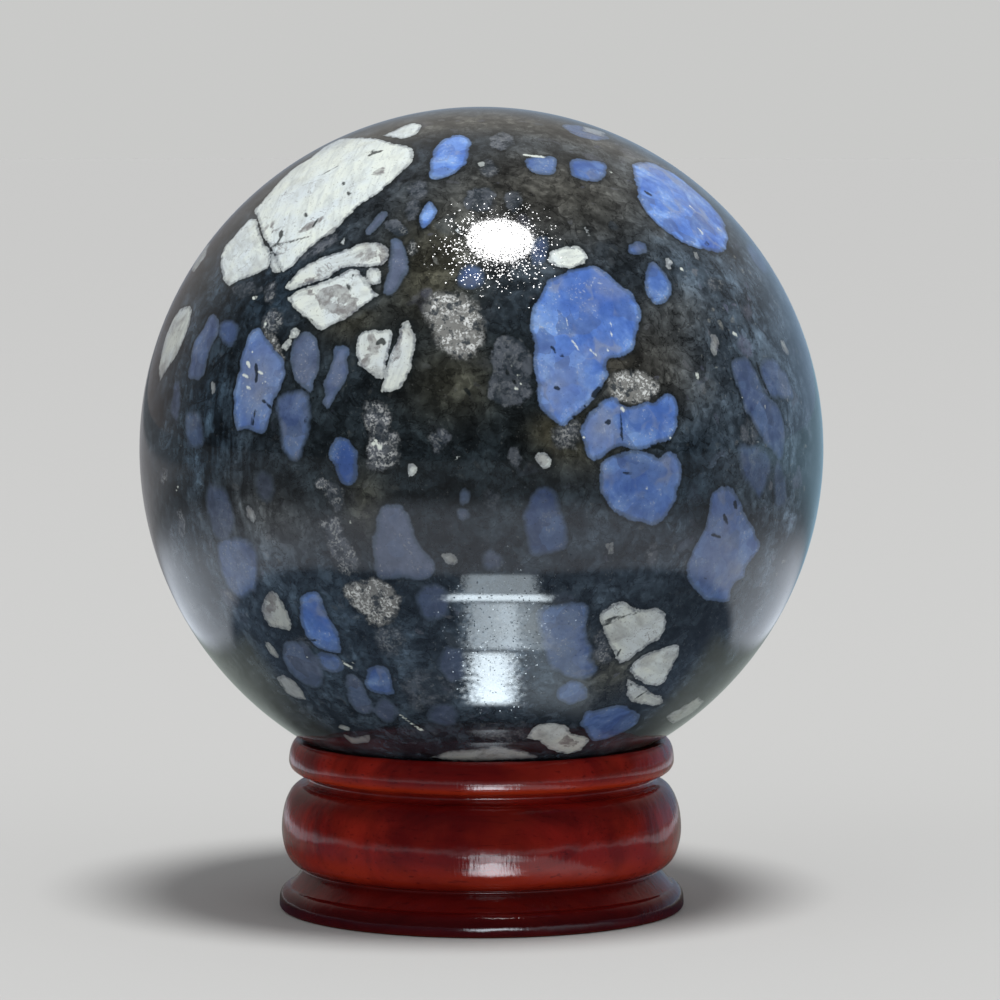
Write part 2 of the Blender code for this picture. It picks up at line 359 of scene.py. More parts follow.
# Grey, speckled clusters
CLUSTERS = (
    cluster(428, 306, 436, 296, 450, 293, 466, 299, 478, 312, 480, 332, 478, 346, 470, 356, 458, 358,
            446, 350, 437, 338, 431, 324, tint=0.85, soft_mm=0.6),
    cluster(366, 402, 380, 404, 388, 414, 391, 430, 399, 440, 400, 455, 394, 464, 382, 470, 371, 467,
            368, 450, 371, 436, 366, 420, veil=0.05),
    cluster(497, 341, 505, 336, 520, 338, 527, 346, 531, 357, 531, 372, 531, 388, 526, 398, 516, 404,
            501, 406, 493, 402, 489, 391, 489, 378, 493, 369, 491, 358, tint=-0.75, veil=0.3, soft_mm=0.15),
    cluster(345, 588, 358, 584, 373, 579, 386, 584, 395, 592, 399, 598, 397, 607, 394, 617, 386, 625,
            372, 624, 362, 612, 352, 604, tint=0.7, veil=0.05),
    cluster(319, 524, 329, 518, 337, 519, 341, 530, 346, 541, 354, 552, 357, 566, 350, 574, 339, 570,
            332, 552, 326, 537, tint=-0.25, veil=0.2),
    cluster(608, 386, 617, 376, 630, 373, 643, 374, 652, 381, 658, 390, 650, 399, 638, 404, 622, 402,
            612, 396, tint=1.0, soft_mm=0.4),
    cluster(*oval(569, 434, 34, 24, -30), tint=-0.1, veil=0.35, soft_mm=0.6),
    cluster(*oval(417, 190, 18, 18, 16), tint=-0.7, veil=0.3),
    cluster(*oval(413, 209, 14, 20, 10), tint=-0.7, veil=0.3),
    cluster(384, 224, 395, 220, 408, 230, 404, 237, 393, 236, tint=-0.6, veil=0.15, soft_mm=0.15),
    cluster(*oval(412, 247, 10, 17), tint=0.1, veil=0.15),
    cluster(463, 200, 472, 190, 486, 187, 494, 192, 492, 206, 480, 212, 469, 208, tint=-0.75, veil=0.25,
            soft_mm=0.15),
    cluster(*oval(514, 202, 15, 19), tint=-0.8, veil=0.35, soft_mm=0.2),
    cluster(*oval(489, 168, 18, 14), tint=-0.5, veil=0.35),
    cluster(*oval(502, 141, 22, 17), tint=-0.6, veil=0.3, soft_mm=0.2),
    cluster(*oval(273, 322, 18, 24, 24), tint=-0.2, veil=0.3),
    cluster(264, 326, 272, 330, 279, 343, 284, 357, 282, 362, 273, 352, 266, 340, tint=0.4, veil=0.1,
            soft_mm=0.2),
    cluster(240, 372, 250, 364, 258, 368, 259, 382, 255, 392, 243, 392, 238, 384, tint=0.7, veil=0.05,
            soft_mm=0.2),
    cluster(232, 287, 244, 283, 258, 284, 262, 292, 248, 298, 238, 297, tint=-0.8, veil=0.3, soft_mm=0.15),
    cluster(*oval(271, 293, 11, 20), tint=-0.3, veil=0.3),
    cluster(*oval(318, 246, 44, 11, -30), tint=-0.7, veil=0.2),
    cluster(431, 433, 446, 433, 449, 441, 437, 452, 433, 446, tint=-0.5, veil=0.3, soft_mm=0.2),
    cluster(324, 488, 333, 479, 341, 487, 343, 503, 337, 510, 328, 500, tint=-0.4, veil=0.3),
    cluster(*oval(322, 484, 10, 9), veil=0.3, soft_mm=0.15),
    cluster(*oval(653, 554, 10, 16), tint=-0.5, veil=0.5),
    cluster(*oval(605, 645, 22, 40, 12), tint=-0.3, veil=0.3, soft_mm=0.4),
    cluster(*oval(716, 284, 16, 13), tint=-0.5, veil=0.5, soft_mm=0.3),
    cluster(*oval(786, 390, 9, 18, -14), tint=0.1, veil=0.3, soft_mm=0.2),
    cluster(*oval(430, 690, 50, 40), tint=-0.6, veil=0.55, soft_mm=0.6),
    cluster(*oval(510, 735, 60, 14), tint=-0.5, veil=0.5, soft_mm=0.4),
    cluster(*oval(390, 640, 24, 30, -30), tint=-0.4, veil=0.5, soft_mm=0.5),
    cluster(*oval(300, 645, 22, 16), tint=-0.7, veil=0.45, soft_mm=0.3),
    cluster(*oval(750, 432, 16, 26), tint=-0.6, veil=0.35, soft_mm=0.3),
    cluster(*oval(515, 458, 11, 19, -8), tint=-0.7, veil=0.4, soft_mm=0.2),
    cluster(*oval(492, 502, 16, 26), tint=-0.8, veil=0.55, soft_mm=0.3),
    cluster(*oval(163, 476, 9, 14), tint=-0.3, veil=0.3, soft_mm=0.2),
    cluster(*oval(181, 524, 7, 28, -8), tint=-0.5, veil=0.35, soft_mm=0.2),
)

# Cracks, pits, bright lines and stains that show by themselves
MARKS = (
    dark(2.0, 260, 204, 267, 201, 275, 196),
    dark(1.6, 318, 176, 329, 171, 338, 166),
    dark(4.5, 281, 232, 281, 236),
    dark(2.2, 272, 247, 278, 242, 281, 237),
    dark(1.8, 273, 246, 290, 242, 311, 236),
    dark(3.4, 342, 183, 344, 184),
    dark(3.8, 348, 193, 350, 194),
    dark(2.6, 305, 214, 307, 216),
    dark(2.2, 313, 226, 318, 219),
    dark(3.8, 370, 155, 376, 152, 382, 151),
    dark(2.2, 371, 156, 373, 149),
    stain(9.0, 377, 172, 380, 170),
    stain(10.0, 268, 223, 273, 232),
    stain(5.0, 300, 232, 312, 224, 322, 218),
    stain(17.0, 318, 296, 335, 290, 352, 300),
    stain(9.0, 322, 304, 345, 311),
    stain(9.0, 385, 262, 386, 247),
    stain(7.0, 389, 343, 388, 352),
    stain(10.0, 372, 343, 366, 362),
    dark(3.4, 378, 343, 382, 340, 384, 343),
    dark(2.0, 352, 279, 353, 275),
    dark(2.4, 347, 284, 350, 289),
    dark(1.8, 300, 316, 312, 321),
    stain(9.0, 541, 459, 545, 461),
    stain(9.0, 272, 599, 274, 606),
    stain(12.0, 565, 741, 577, 742),
    light(3.4, 525, 155, 532, 156, 545, 157),
    light(3.0, 608, 350),
    light(0.8, 590, 349, 596, 355),
    light(0.6, 611, 322, 611, 340),
    stain(9.0, 371, 338, 377, 350),
    stain(6.0, 399, 338, 396, 362),
    stain(8.0, 352, 263, 372, 257),
    stain(9.0, 345, 313, 353, 306),
    stain(7.0, 303, 283, 318, 276),
    light(0.9, 566, 318, 572, 340, 580, 352),
    light(3.4, 622, 408, 624, 411),
    light(3.0, 670, 438),
    light(3.2, 646, 488),
    light(3.0, 682, 269),
    light(3.0, 611, 172),
    light(2.6, 716, 368),
    light(3.4, 697, 374, 698, 378),
    light(3.2, 780, 366),
    light(2.8, 742, 398),
    light(2.8, 758, 441),
    light(3.0, 765, 407),
    light(3.0, 733, 333, 736, 335),
    light(3.4, 253, 297, 256, 298),
    light(3.0, 181, 447),
    light(2.6, 176, 490, 178, 488),
    light(2.6, 353, 663),
    light(2.0, 343, 662, 352, 668),
    light(2.4, 401, 715, 412, 724, 423, 731),
    light(2.2, 307, 657),
    light(2.2, 351, 522),
    light(2.4, 584, 438),
    light(2.2, 410, 491),
    light(3.0, 265, 324),
    light(4.0, 376, 441, 373, 444),
    light(4.0, 380, 447),
    light(2.0, 517, 374, 519, 376),
    light(2.0, 515, 388, 517, 389),
    light(1.8, 521, 384),
    light(1.8, 512, 366),
    light(2.6, 247, 362, 250, 367),
    light(2.2, 243, 374, 248, 378),
    light(2.0, 258, 371, 262, 374),
    light(1.8, 246, 386, 252, 390),
    light(1.6, 262, 384, 266, 382),
    light(1.4, 252, 352),
    light(2.4, 717, 228, 720, 230),
    light(2.4, 690, 206, 695, 211),
    light(2.0, 698, 228, 703, 234),
    dark(3.2, 256, 365, 257, 372, 256, 381),
    dark(3.0, 256, 411, 253, 418, 252, 425),
    dark(1.8, 262, 400, 268, 405, 272, 409),
    dark(2.6, 306, 418, 305, 422),
    dark(2.2, 552, 347, 555, 352),
    dark(2.0, 561, 355, 563, 356),
    dark(2.8, 556, 388, 559, 389),
    dark(2.6, 574, 416, 575, 418),
    dark(2.2, 585, 406),
    dark(5.0, 594, 395, 599, 389),
    dark(3.6, 607, 423, 609, 422),
    dark(2.2, 621, 428, 622, 440),
    dark(1.8, 620, 412, 621, 424),
    dark(2.0, 623, 473, 632, 473),
    dark(3.2, 652, 446, 658, 446, 664, 449),
    dark(4.0, 646, 192, 650, 195),
    dark(3.0, 706, 245, 708, 243),
    dark(2.6, 446, 167, 447, 170),
    dark(2.4, 217, 341, 215, 342),
    dark(4.4, 735, 503, 736, 507),
    dark(3.2, 724, 516, 727, 523),
    dark(2.8, 705, 578, 706, 578),
    dark(2.6, 712, 534, 720, 537),
    dark(1.9, 601, 626, 621, 618, 640, 611),
    dark(1.6, 604, 622, 619, 615),
    dark(1.8, 635, 699, 648, 690),
    dark(2.2, 631, 684, 632, 685),
    dark(5.0, 508, 745, 524, 748, 540, 752),
    dark(2.0, 506, 369, 508, 374),
    dark(2.0, 513, 380, 515, 383),
    dark(2.4, 757, 362, 759, 372, 765, 386, 770, 396),
    dark(2.6, 618, 655, 620, 650),
    dark(2.0, 304, 640, 318, 640),
    dark(3.0, 466, 389, 470, 395),
)

# Where the dark rock takes another shade
ZONES = (
    Zone(Rock.INK, (450, 440), (240, 170), 1.8),
    Zone(Rock.INK, (520, 410), (40, 90), 1.0),
    Zone(Rock.INK, (320, 440), (70, 130), 0.5),
    Zone(Rock.INK, (180, 470), (30, 150), 0.9),
    Zone(Rock.INK, (690, 610), (120, 90), 0.6),
    Zone(Rock.UMBER, (480, 120), (360, 60), 1.2),
    Zone(Rock.UMBER, (560, 190), (220, 110), 1.1),
    Zone(Rock.UMBER, (650, 370), (120, 90), 0.9),
    Zone(Rock.UMBER, (250, 520), (120, 60), 0.6),
    Zone(Rock.UMBER, (690, 310), (80, 50), 0.6),
    Zone(Rock.OLIVE, (430, 270), (70, 100), 0.9),
    Zone(Rock.OLIVE, (455, 385), (80, 60), 1.1),
    Zone(Rock.OLIVE, (575, 440), (70, 50), 1.0),
    Zone(Rock.OLIVE, (556, 430), (44, 26), 2.5),
    Zone(Rock.UMBER, (612, 364), (40, 24), 2.0),
    Zone(Rock.OLIVE, (350, 320), (60, 40), 0.6),
    Zone(Rock.OLIVE, (365, 500), (40, 60), 0.6),
    Zone(Rock.OLIVE, (610, 670), (60, 60), 0.6),
    Zone(Rock.SLATE, (740, 330), (120, 240), 1.3),
    Zone(Rock.SLATE, (790, 460), (70, 220), 1.3),
    Zone(Rock.SLATE, (640, 560), (160, 60), 0.3),
    Zone(Rock.SLATE, (230, 560), (120, 100), 0.9),
    Zone(Rock.SLATE, (460, 660), (200, 120), 0.7),
    Zone(Rock.TEAL, (200, 420), (90, 220), 1.1),
    Zone(Rock.TEAL, (270, 300), (90, 50), 0.8),
    Zone(Rock.TEAL, (690, 460), (70, 110), 0.8),
    Zone(Rock.TEAL, (330, 640), (180, 130), 0.7),
    Zone(Rock.TEAL, (560, 330), (40, 60), 0.4),
)

# Where the rock is drawn out in upright streaks
STREAKS = (
    Patch((215, 450), (160, 270), 1.0),
    Patch((340, 690), (160, 120), 0.6),
    Patch((790, 440), (60, 260), 0.6),
)

# Where tiny crystal faces glint, and the middle of the highlight, where they don't
SPARKLES = (
    Patch((496, 247), (128, 104), 1.0),
    Patch((633, 388), (60, 34), 0.5),
    Patch((500, 650), (130, 140), 0.32),
    Patch((454, 326), (60, 60), 0.3),
)
CLEAR = Patch((500, 239), (58, 43), 1.0)

# Where the blue grains are paler, above nought, or deeper, below it
TONES = (
    Patch((592, 292), (90, 70), -0.9),
    Patch((556, 385), (60, 70), 0.6),
    Patch((655, 415), (60, 44), -0.7),
    Patch((600, 432), (34, 44), 1.0),
    Patch((640, 495), (90, 60), -0.35),
    Patch((346, 462), (26, 56), -1.0),
    Patch((258, 380), (60, 80), 1.0),
    Patch((232, 405), (16, 60), -0.5),
    Patch((400, 545), (70, 80), 0.9),
    Patch((238, 568), (50, 60), 0.6),
    Patch((397, 265), (30, 70), 0.8),
    Patch((375, 222), (30, 30), 0.7),
    Patch((306, 360), (40, 50), 0.4),
    Patch((736, 572), (24, 24), 0.8),
    Patch((715, 550), (70, 110), 0.7),
    Patch((690, 190), (60, 40), 0.5),
    Patch((320, 620), (40, 70), -0.6),
    Patch((585, 168), (50, 26), -0.3),
    Patch((785, 388), (20, 24), 0.6),
    Patch((545, 520), (50, 80), -0.3),
    Patch((300, 665), (50, 50), 0.5),
)


def signed_distance(points: np.ndarray, loop: np.ndarray) -> np.ndarray:
    """Measures how far points lie inside a closed outline.

    Args:
        points: places in the plane, one a row.
        loop: corners of the outline in order, one a row.

    Returns:
        The distance to the outline for each point, below nought outside it.
    """
    nearest = np.full(len(points), np.inf)
    inside = np.zeros(len(points), bool)
    for start, end in zip(loop, np.roll(loop, -1, axis=0)):
        along = end - start
        nearest = np.minimum(nearest, stretch_distance(points, start, end))
        spans = (start[1] > points[:, 1]) != (end[1] > points[:, 1])
        rise = along[1] if abs(along[1]) > TINY else TINY
        inside ^= spans & (points[:, 0] < start[0] + (points[:, 1] - start[1]) * along[0] / rise)
    return np.where(inside, nearest, -nearest)


def stretch_distance(points: np.ndarray, start: np.ndarray, end: np.ndarray) -> np.ndarray:
    """Measures how far points are from a straight stretch.

    Args:
        points: places in the plane, one a row.
        start, end: the ends of the stretch.

    Returns:
        The distance for each point.
    """
    along = end - start
    offset = points - start
    share = np.clip(offset @ along / max(along @ along, TINY), 0, 1)
    return np.linalg.norm(offset - share[:, None] * along, axis=1)


def smooth_loop(loop: np.ndarray, steps: int = 3) -> np.ndarray:
    """Rounds a closed outline with a curve through its corners.

    Args:
        loop: corners in order, one a row.
        steps: points made for each corner.

    Returns:
        The points of the rounder outline.
    """
    before, after, beyond = np.roll(loop, 1, 0), np.roll(loop, -1, 0), np.roll(loop, -2, 0)
    rows = []
    for step in range(steps):
        share = step / steps
        bend = 2 * before - 5 * loop + 4 * after - beyond
        twist = 3 * loop - before - 3 * after + beyond
        rows.append(0.5 * (2 * loop + (after - before) * share + bend * share**2 + twist * share**3))
    return np.stack(rows, axis=1).reshape(-1, loop.shape[1])


def unit(way: np.ndarray) -> np.ndarray:
    """Scales a vector to length one."""
    return way / max(np.linalg.norm(way), TINY)


class Sketch:
    """Adds nodes to one node tree, and links or sets their inputs."""

    def __init__(self, tree: bpy.types.NodeTree) -> None:
        """Keeps the tree that the nodes go in."""
        self.tree = tree

    def add(self, kind: str, inputs: dict | None = None, **settings: object) -> bpy.types.Node:
        """Adds a node.

        Args:
            kind: the node's class, without ShaderNode.
            inputs: a socket to link or a value to set, by the input's name or number.
            settings: the node's own options.

        Returns:
            The new node.
        """
        node = self.tree.nodes.new("ShaderNode" + kind)
        for name, value in settings.items():
            setattr(node, name, value)
        for name, value in (inputs or {}).items():
            self.feed(node.inputs[name], value)
        return node

    def feed(self, socket: bpy.types.NodeSocket, value: object) -> None:
        """Links a socket to another, or sets its value.

        Args:
            socket: the input to feed.
            value: the socket to link to it, or the value to set. A colour may leave out its alpha.
        """
        if isinstance(value, bpy.types.NodeSocket):
            self.tree.links.new(value, socket)
        elif socket.type == "RGBA" and len(value) == 3:
            socket.default_value = (*value, 1.0)
        else:
            socket.default_value = value

    def math(self, operation: str, first: object, second: object = 0.0, clamp: bool = False) -> object:
        """Works out a number from one or two others."""
        return self.add("Math", {0: first, 1: second}, operation=operation, use_clamp=clamp).outputs[0]

    def product(self, first: object, *others: object) -> object:
        """Multiplies numbers."""
        return reduce(lambda so_far, other: self.math("MULTIPLY", so_far, other), others, first)

    def fade(self, value: object, low: object, high: object, start: float = 0.0, end: float = 1.0) -> object:
        """Turns a number smoothly from start to end as it goes from low to high."""
        inputs = {"Value": value, "From Min": low, "From Max": high, "To Min": start, "To Max": end}
        return self.add("MapRange", inputs, interpolation_type="SMOOTHSTEP").outputs["Result"]

    def mix(self, share: object, first: object, second: object, blend: str = "MIX") -> object:
        """Mixes two colours."""
        inputs = {"Factor": share, 6: first, 7: second}
        return self.add("Mix", inputs, data_type="RGBA", blend_type=blend).outputs[2]

    def pick(self, share: object, first: object, second: object) -> object:
        """Goes from one number to another."""
        return self.add("Mix", {"Factor": share, 2: first, 3: second}, data_type="FLOAT").outputs[0]

    def noise(self, vector: object, scale: float, detail: float = 2.0, rough: float = 0.5,
              twist: float = 0.0) -> object:
        """Makes cloudy noise from nought to one."""
        inputs = {"Vector": vector, "Scale": scale, "Detail": detail, "Roughness": rough,
                  "Distortion": twist}
        return self.add("TexNoise", inputs).outputs["Fac"]

    def centred_noise(self, value: object, reach: float) -> object:
        """Turns noise into a number from -reach to reach."""
        return self.fade(value, 0.2, 0.8, -reach, reach)

    def grey(self, value: object) -> object:
        """Makes a grey from one number."""
        return self.add("CombineXYZ", {"X": value, "Y": value, "Z": value}).outputs["Vector"]

    def warp(self, vector: object, scale: float, reach: float) -> object:
        """Bends coordinates by noise, at most about half of reach each way."""
        drift = self.add("TexNoise", {"Vector": vector, "Scale": scale, "Detail": 1.0}).outputs["Color"]
        return self.vector("MULTIPLY_ADD", drift, (reach,) * 3, vector)

    def vector(self, operation: str, *values: object) -> object:
        """Works out a vector from others."""
        return self.add("VectorMath", dict(enumerate(values)), operation=operation).outputs["Vector"]

    def length(self, vector: object) -> object:
        """Measures a vector."""
        return self.add("VectorMath", {0: vector}, operation="LENGTH").outputs["Value"]

    def attribute(self, name: str) -> bpy.types.bpy_prop_collection:
        """Reads an attribute of the mesh."""
        return self.add("Attribute", attribute_name=name).outputs

    def cells(self, vector: object, scale: float) -> tuple[object, ...]:
        """Makes a cell pattern.

        Args:
            vector: coordinates.
            scale: how many cells there are to the metre.

        Returns:
            The distance from a cell's middle, and three random numbers for each cell.
        """
        node = self.add("TexVoronoi", {"Vector": vector, "Scale": scale}, feature="F1")
        chance = self.add("SeparateColor", {"Color": node.outputs["Color"]}).outputs
        return node.outputs["Distance"], chance["Red"], chance["Green"], chance["Blue"]

    def stretch(self, vector: object, scale: tuple[float, float, float]) -> object:
        """Scales a pattern's coordinates by a factor along each axis."""
        return self.vector("MULTIPLY", vector, scale)

    def ramp(self, value: object, *stops: tuple[float, Colour]) -> object:
        """Picks a colour between stops.

        Args:
            value: where to read the ramp, from nought to one.
            stops: places from nought to one, each with its colour.

        Returns:
            The colour socket.
        """
        node = self.add("ValToRGB", {"Fac": value})
        marks = node.color_ramp.elements
        for place, _ in stops[2:]:
            marks.new(place)
        for mark, (place, colour) in zip(marks, sorted(stops)):
            mark.position = place
            mark.color = (*colour, 1.0)
        return node.outputs["Color"]


class Group(Sketch):
    """A node group with named inputs and outputs."""

    def __init__(self, name: str, inputs: dict[str, str], outputs: dict[str, str]) -> None:
        """Makes the group's sockets.

        Args:
            name: the group's name.
            inputs: kind of each input by its name: Float, Color or Vector.
            outputs: kind of each output by its name.
        """
        super().__init__(bpy.data.node_groups.new(name, "ShaderNodeTree"))
        for label, kind in inputs.items():
            self.tree.interface.new_socket(label, in_out="INPUT", socket_type="NodeSocket" + kind)
        for label, kind in outputs.items():
            self.tree.interface.new_socket(label, in_out="OUTPUT", socket_type="NodeSocket" + kind)
        self.source = self.tree.nodes.new("NodeGroupInput").outputs
        self.result = self.tree.nodes.new("NodeGroupOutput").inputs

    def give(self, **values: object) -> None:
        """Links values to the outputs of the same names, with _ for a space."""
        for label, value in values.items():
            self.feed(self.result[label.replace("_", " ")], value)

    def place(self, sketch: Sketch, inputs: dict) -> bpy.types.Node:
        """Puts the group in another tree.

        Args:
            sketch: the tree.
            inputs: a socket to link or a value to set, by the input's name.

        Returns:
            The group's node.
        """
        node = sketch.tree.nodes.new("ShaderNodeGroup")
        node.node_tree = self.tree
        for label, value in inputs.items():
            sketch.feed(node.inputs[label], value)
        return node


def grain_edge_group() -> Group:
    """Makes the group that joins a mineral's two channels and turns the distance to the edge into masks.

    Returns:
        The group. Its outputs are the grain itself, the dark seam round it, the depth inside it, its tint,
        and whether the second channel is the nearer.
    """
    inputs = {"First": "Color", "First Soft": "Float", "Second": "Color", "Second Soft": "Float",
              "Wander": "Float"}
    outputs = dict.fromkeys(("Mask", "Rim", "Depth", "Tint", "Second Share"), "Float")
    group = Group("grain_edge", inputs, outputs)
    given = group.source
    first = group.add("SeparateColor", {"Color": given["First"]}).outputs
    second = group.add("SeparateColor", {"Color": given["Second"]}).outputs
    share = group.math("GREATER_THAN", second["Red"], first["Red"])
    edge = group.math("ADD", group.math("MAXIMUM", first["Red"], second["Red"]), given["Wander"])
    soft = group.pick(share, given["First Soft"], given["Second Soft"])
    shown = group.math("SUBTRACT", 1.0, group.pick(share, first["Blue"], second["Blue"]), clamp=True)
    mask = group.fade(edge, group.math("MULTIPLY", soft, -1.0), soft)
    group.give(
        Mask=group.product(mask, shown),
        Rim=group.product(group.fade(edge, -0.50, -0.05), shown),
        Depth=group.fade(edge, 0.0, 0.9),
        Tint=group.pick(share, first["Green"], second["Green"]),
        Second_Share=share,
    )
    return group


class StonePattern(Sketch):
    """The stone's material tree, with the coordinates, noises and marks that all its colours share."""

    patch_scale: float = 260.0
    cloud_scale: float = 430.0
    fine_scale: float = 1300.0
    grain_scale: float = 4200.0
    bend_scale: float = 520.0
    bend_reach: float = 2.4 * MM

    def __init__(self, tree: bpy.types.NodeTree) -> None:
        """Adds the shared nodes.

        Args:
            tree: the material's tree.
        """
        super().__init__(tree)
        self.place = self.add("TexCoord").outputs["Object"]
        self.bent = self.warp(self.place, self.bend_scale, self.bend_reach)
        self.patch = self.noise(self.place, self.patch_scale, 3.0, 0.6)
        self.cloud = self.noise(self.place, self.cloud_scale, 4.0, 0.58, 0.5)
        self.fine = self.noise(self.place, self.fine_scale, 3.0, 0.65)
        self.grain = self.noise(self.place, self.grain_scale, 1.0, 0.6)
        surface = self.attribute("surface")
        marks = self.add("SeparateColor", {"Color": surface["Color"]}).outputs
        self.cracks, self.glints, self.stains = marks["Red"], marks["Green"], marks["Blue"]
        self.sparkle = surface["Alpha"]


@dataclass(frozen=True)
class PolishedStone:
    """Finish of the ball: dark porphyry, cut and polished to a gloss."""

    base: Colour = (0.023, 0.032, 0.042)
    ink: Colour = (0.008, 0.012, 0.014)
    umber: Colour = (0.062, 0.058, 0.046)
    olive: Colour = (0.076, 0.071, 0.043)
    slate: Colour = (0.062, 0.088, 0.118)
    teal: Colour = (0.016, 0.029, 0.044)
    seam: Colour = (0.007, 0.010, 0.011)
    lilac: Colour = (0.115, 0.125, 0.185)
    chalk: Colour = (0.230, 0.240, 0.225)
    quartz_deep: Colour = (0.050, 0.118, 0.400)
    quartz_mid: Colour = (0.100, 0.205, 0.540)
    quartz_light: Colour = (0.220, 0.370, 0.690)
    quartz_dull: Colour = (0.080, 0.104, 0.170)
    quartz_pale: Colour = (0.210, 0.260, 0.390)
    feldspar_light: Colour = (0.740, 0.800, 0.740)
    feldspar_blue: Colour = (0.680, 0.760, 0.790)
    feldspar_mid: Colour = (0.540, 0.595, 0.590)
    feldspar_grey: Colour = (0.210, 0.205, 0.205)
    cluster_light: Colour = (0.640, 0.665, 0.660)
    cluster_mid: Colour = (0.110, 0.125, 0.150)
    cluster_pale: Colour = (0.215, 0.218, 0.205)
    refraction: float = 1.54
    gloss: float = 0.050
    pit_scale: float = 5200.0
    facet_scale: float = 7800.0
    facet_tilt: float = 0.30

    def rock(self, kind: Rock) -> Colour:
        """Gives the shade of one kind of rock."""
        return getattr(self, kind.value)

    def material(self) -> bpy.types.Material:
        """Builds the material, which reads the ball's attributes.

        Returns:
            The material.
        """
        material = bpy.data.materials.new("polished_stone")
        material.use_nodes = True
        sketch = StonePattern(material.node_tree)
        colour = self.ground(sketch)
        edges = grain_edge_group()
        broad = sketch.centred_noise(sketch.cloud, 0.24)
        nibble = sketch.centred_noise(sketch.fine, 0.18)
        wander = {
            Mineral.CLUSTER: sketch.math("ADD", broad, nibble),
            Mineral.QUARTZ: sketch.math("ADD", broad, sketch.product(nibble, 0.30)),
            Mineral.FELDSPAR: sketch.math("ADD", sketch.product(broad, 0.4), sketch.product(nibble, 0.65)),
        }
        cover = 0.0
        masks = {}
        for mineral in Mineral:
            pair = [sketch.attribute(f"{mineral.value}_{letter}") for letter in "ab"]
            node = edges.place(sketch, {"First": pair[0]["Color"], "First Soft": pair[0]["Alpha"],
                                        "Second": pair[1]["Color"], "Second Soft": pair[1]["Alpha"],
                                        "Wander": wander[mineral]})
            colour = sketch.mix(sketch.product(node.outputs["Rim"], 0.6), colour, self.seam)
            made = getattr(self, mineral.value)(sketch, node.outputs)
            colour = sketch.mix(node.outputs["Mask"], colour, made)
            cover = sketch.math("MAXIMUM", cover, node.outputs["Mask"])
            masks[mineral] = node.outputs["Mask"]
        wobble = sketch.centred_noise(sketch.fine, 0.10)
        cracks = sketch.fade(sketch.math("ADD", sketch.cracks, wobble), -0.05, 0.09)
        colour = sketch.mix(sketch.product(cracks, 0.88), colour, self.seam)
        glints = sketch.fade(sketch.math("ADD", sketch.glints, wobble), -0.03, 0.10)
        colour = sketch.mix(sketch.product(glints, 0.85), colour, self.feldspar_light)
        far, _, _, chance = sketch.cells(sketch.place, self.pit_scale)
        pits = sketch.product(sketch.math("GREATER_THAN", chance, 0.90), sketch.fade(far, 0.42, 0.22),
                              sketch.fade(cover, 0.0, 1.0, 0.65, 0.22))
        colour = sketch.mix(pits, colour, self.seam)
        rough = sketch.math("ADD", sketch.product(sketch.grain, 0.03), self.gloss)
        rough = sketch.math("ADD", rough, sketch.product(pits, 0.3))
        rough = sketch.math("ADD", rough, sketch.product(masks[Mineral.FELDSPAR], 0.04))
        shader = material.node_tree.nodes["Principled BSDF"]
        shader.inputs["IOR"].default_value = self.refraction
        sketch.feed(shader.inputs["Base Color"], colour)
        sketch.feed(shader.inputs["Roughness"], rough)
        sketch.feed(shader.inputs["Normal"], self.facets(sketch))
        return material

    def ground(self, sketch: StonePattern) -> object:
        """Colours the dark rock between the grains.

        Args:
            sketch: the material's tree.

        Returns:
            The colour socket.
        """
        ground = sketch.attribute("ground")
        far, chance, tone, kind = sketch.cells(sketch.bent, 400.0)
        near, small, small_tone, small_kind = sketch.cells(sketch.bent, 1150.0)
        light = sketch.fade(sketch.patch, 0.28, 0.72, 0.50, 1.55)
        light = sketch.product(light, sketch.fade(chance, 0.0, 1.0, 0.72, 1.34))
        light = sketch.product(light, sketch.fade(small, 0.0, 1.0, 0.76, 1.28))
        light = sketch.product(light, sketch.fade(far, 0.38, 0.72, 1.08, 0.75))
        light = sketch.product(light, sketch.fade(sketch.fine, 0.28, 0.72, 0.66, 1.42))
        crackle = sketch.math("ABSOLUTE", sketch.math("SUBTRACT", sketch.cloud, 0.5))
        light = sketch.product(light, sketch.fade(crackle, 0.0, 0.025, 0.50, 1.0))
        drawn = sketch.noise(sketch.stretch(sketch.place, (1.0, 1.0, 0.20)), 1100.0, 2.0, 0.6)
        streak = sketch.fade(drawn, 0.32, 0.68, 0.35, 1.9)
        light = sketch.product(light, sketch.pick(ground["Alpha"], 1.0, streak))
        colour = sketch.mix(1.0, ground["Color"], sketch.grey(light), "MULTIPLY")
        level = sketch.add("SeparateColor", {"Color": ground["Color"]}).outputs["Green"]
        lively = sketch.fade(level, 0.028, 0.080, 0.10, 1.0)
        core = sketch.product(sketch.math("GREATER_THAN", tone, 0.80), sketch.fade(far, 0.56, 0.30),
                              sketch.fade(sketch.fine, 0.3, 0.6, 0.25, 0.65), lively)
        hue = sketch.ramp(kind, (0.2, self.lilac), (0.8, self.slate), (0.5, self.umber))
        colour = sketch.mix(core, colour, hue)
        crumb = sketch.product(sketch.math("GREATER_THAN", small_tone, 0.88), sketch.fade(near, 0.50, 0.24),
                               sketch.fade(sketch.grain, 0.3, 0.6, 0.20, 0.75), lively)
        pale = sketch.ramp(small_kind, (0.25, self.lilac), (0.85, self.chalk))
        colour = sketch.mix(crumb, colour, pale)
        speck = sketch.product(sketch.fade(sketch.grain, 0.60, 0.74), sketch.fade(sketch.fine, 0.50, 0.64),
                               sketch.math("MAXIMUM", lively, 0.25), 0.65)
        return sketch.mix(speck, colour, self.chalk)

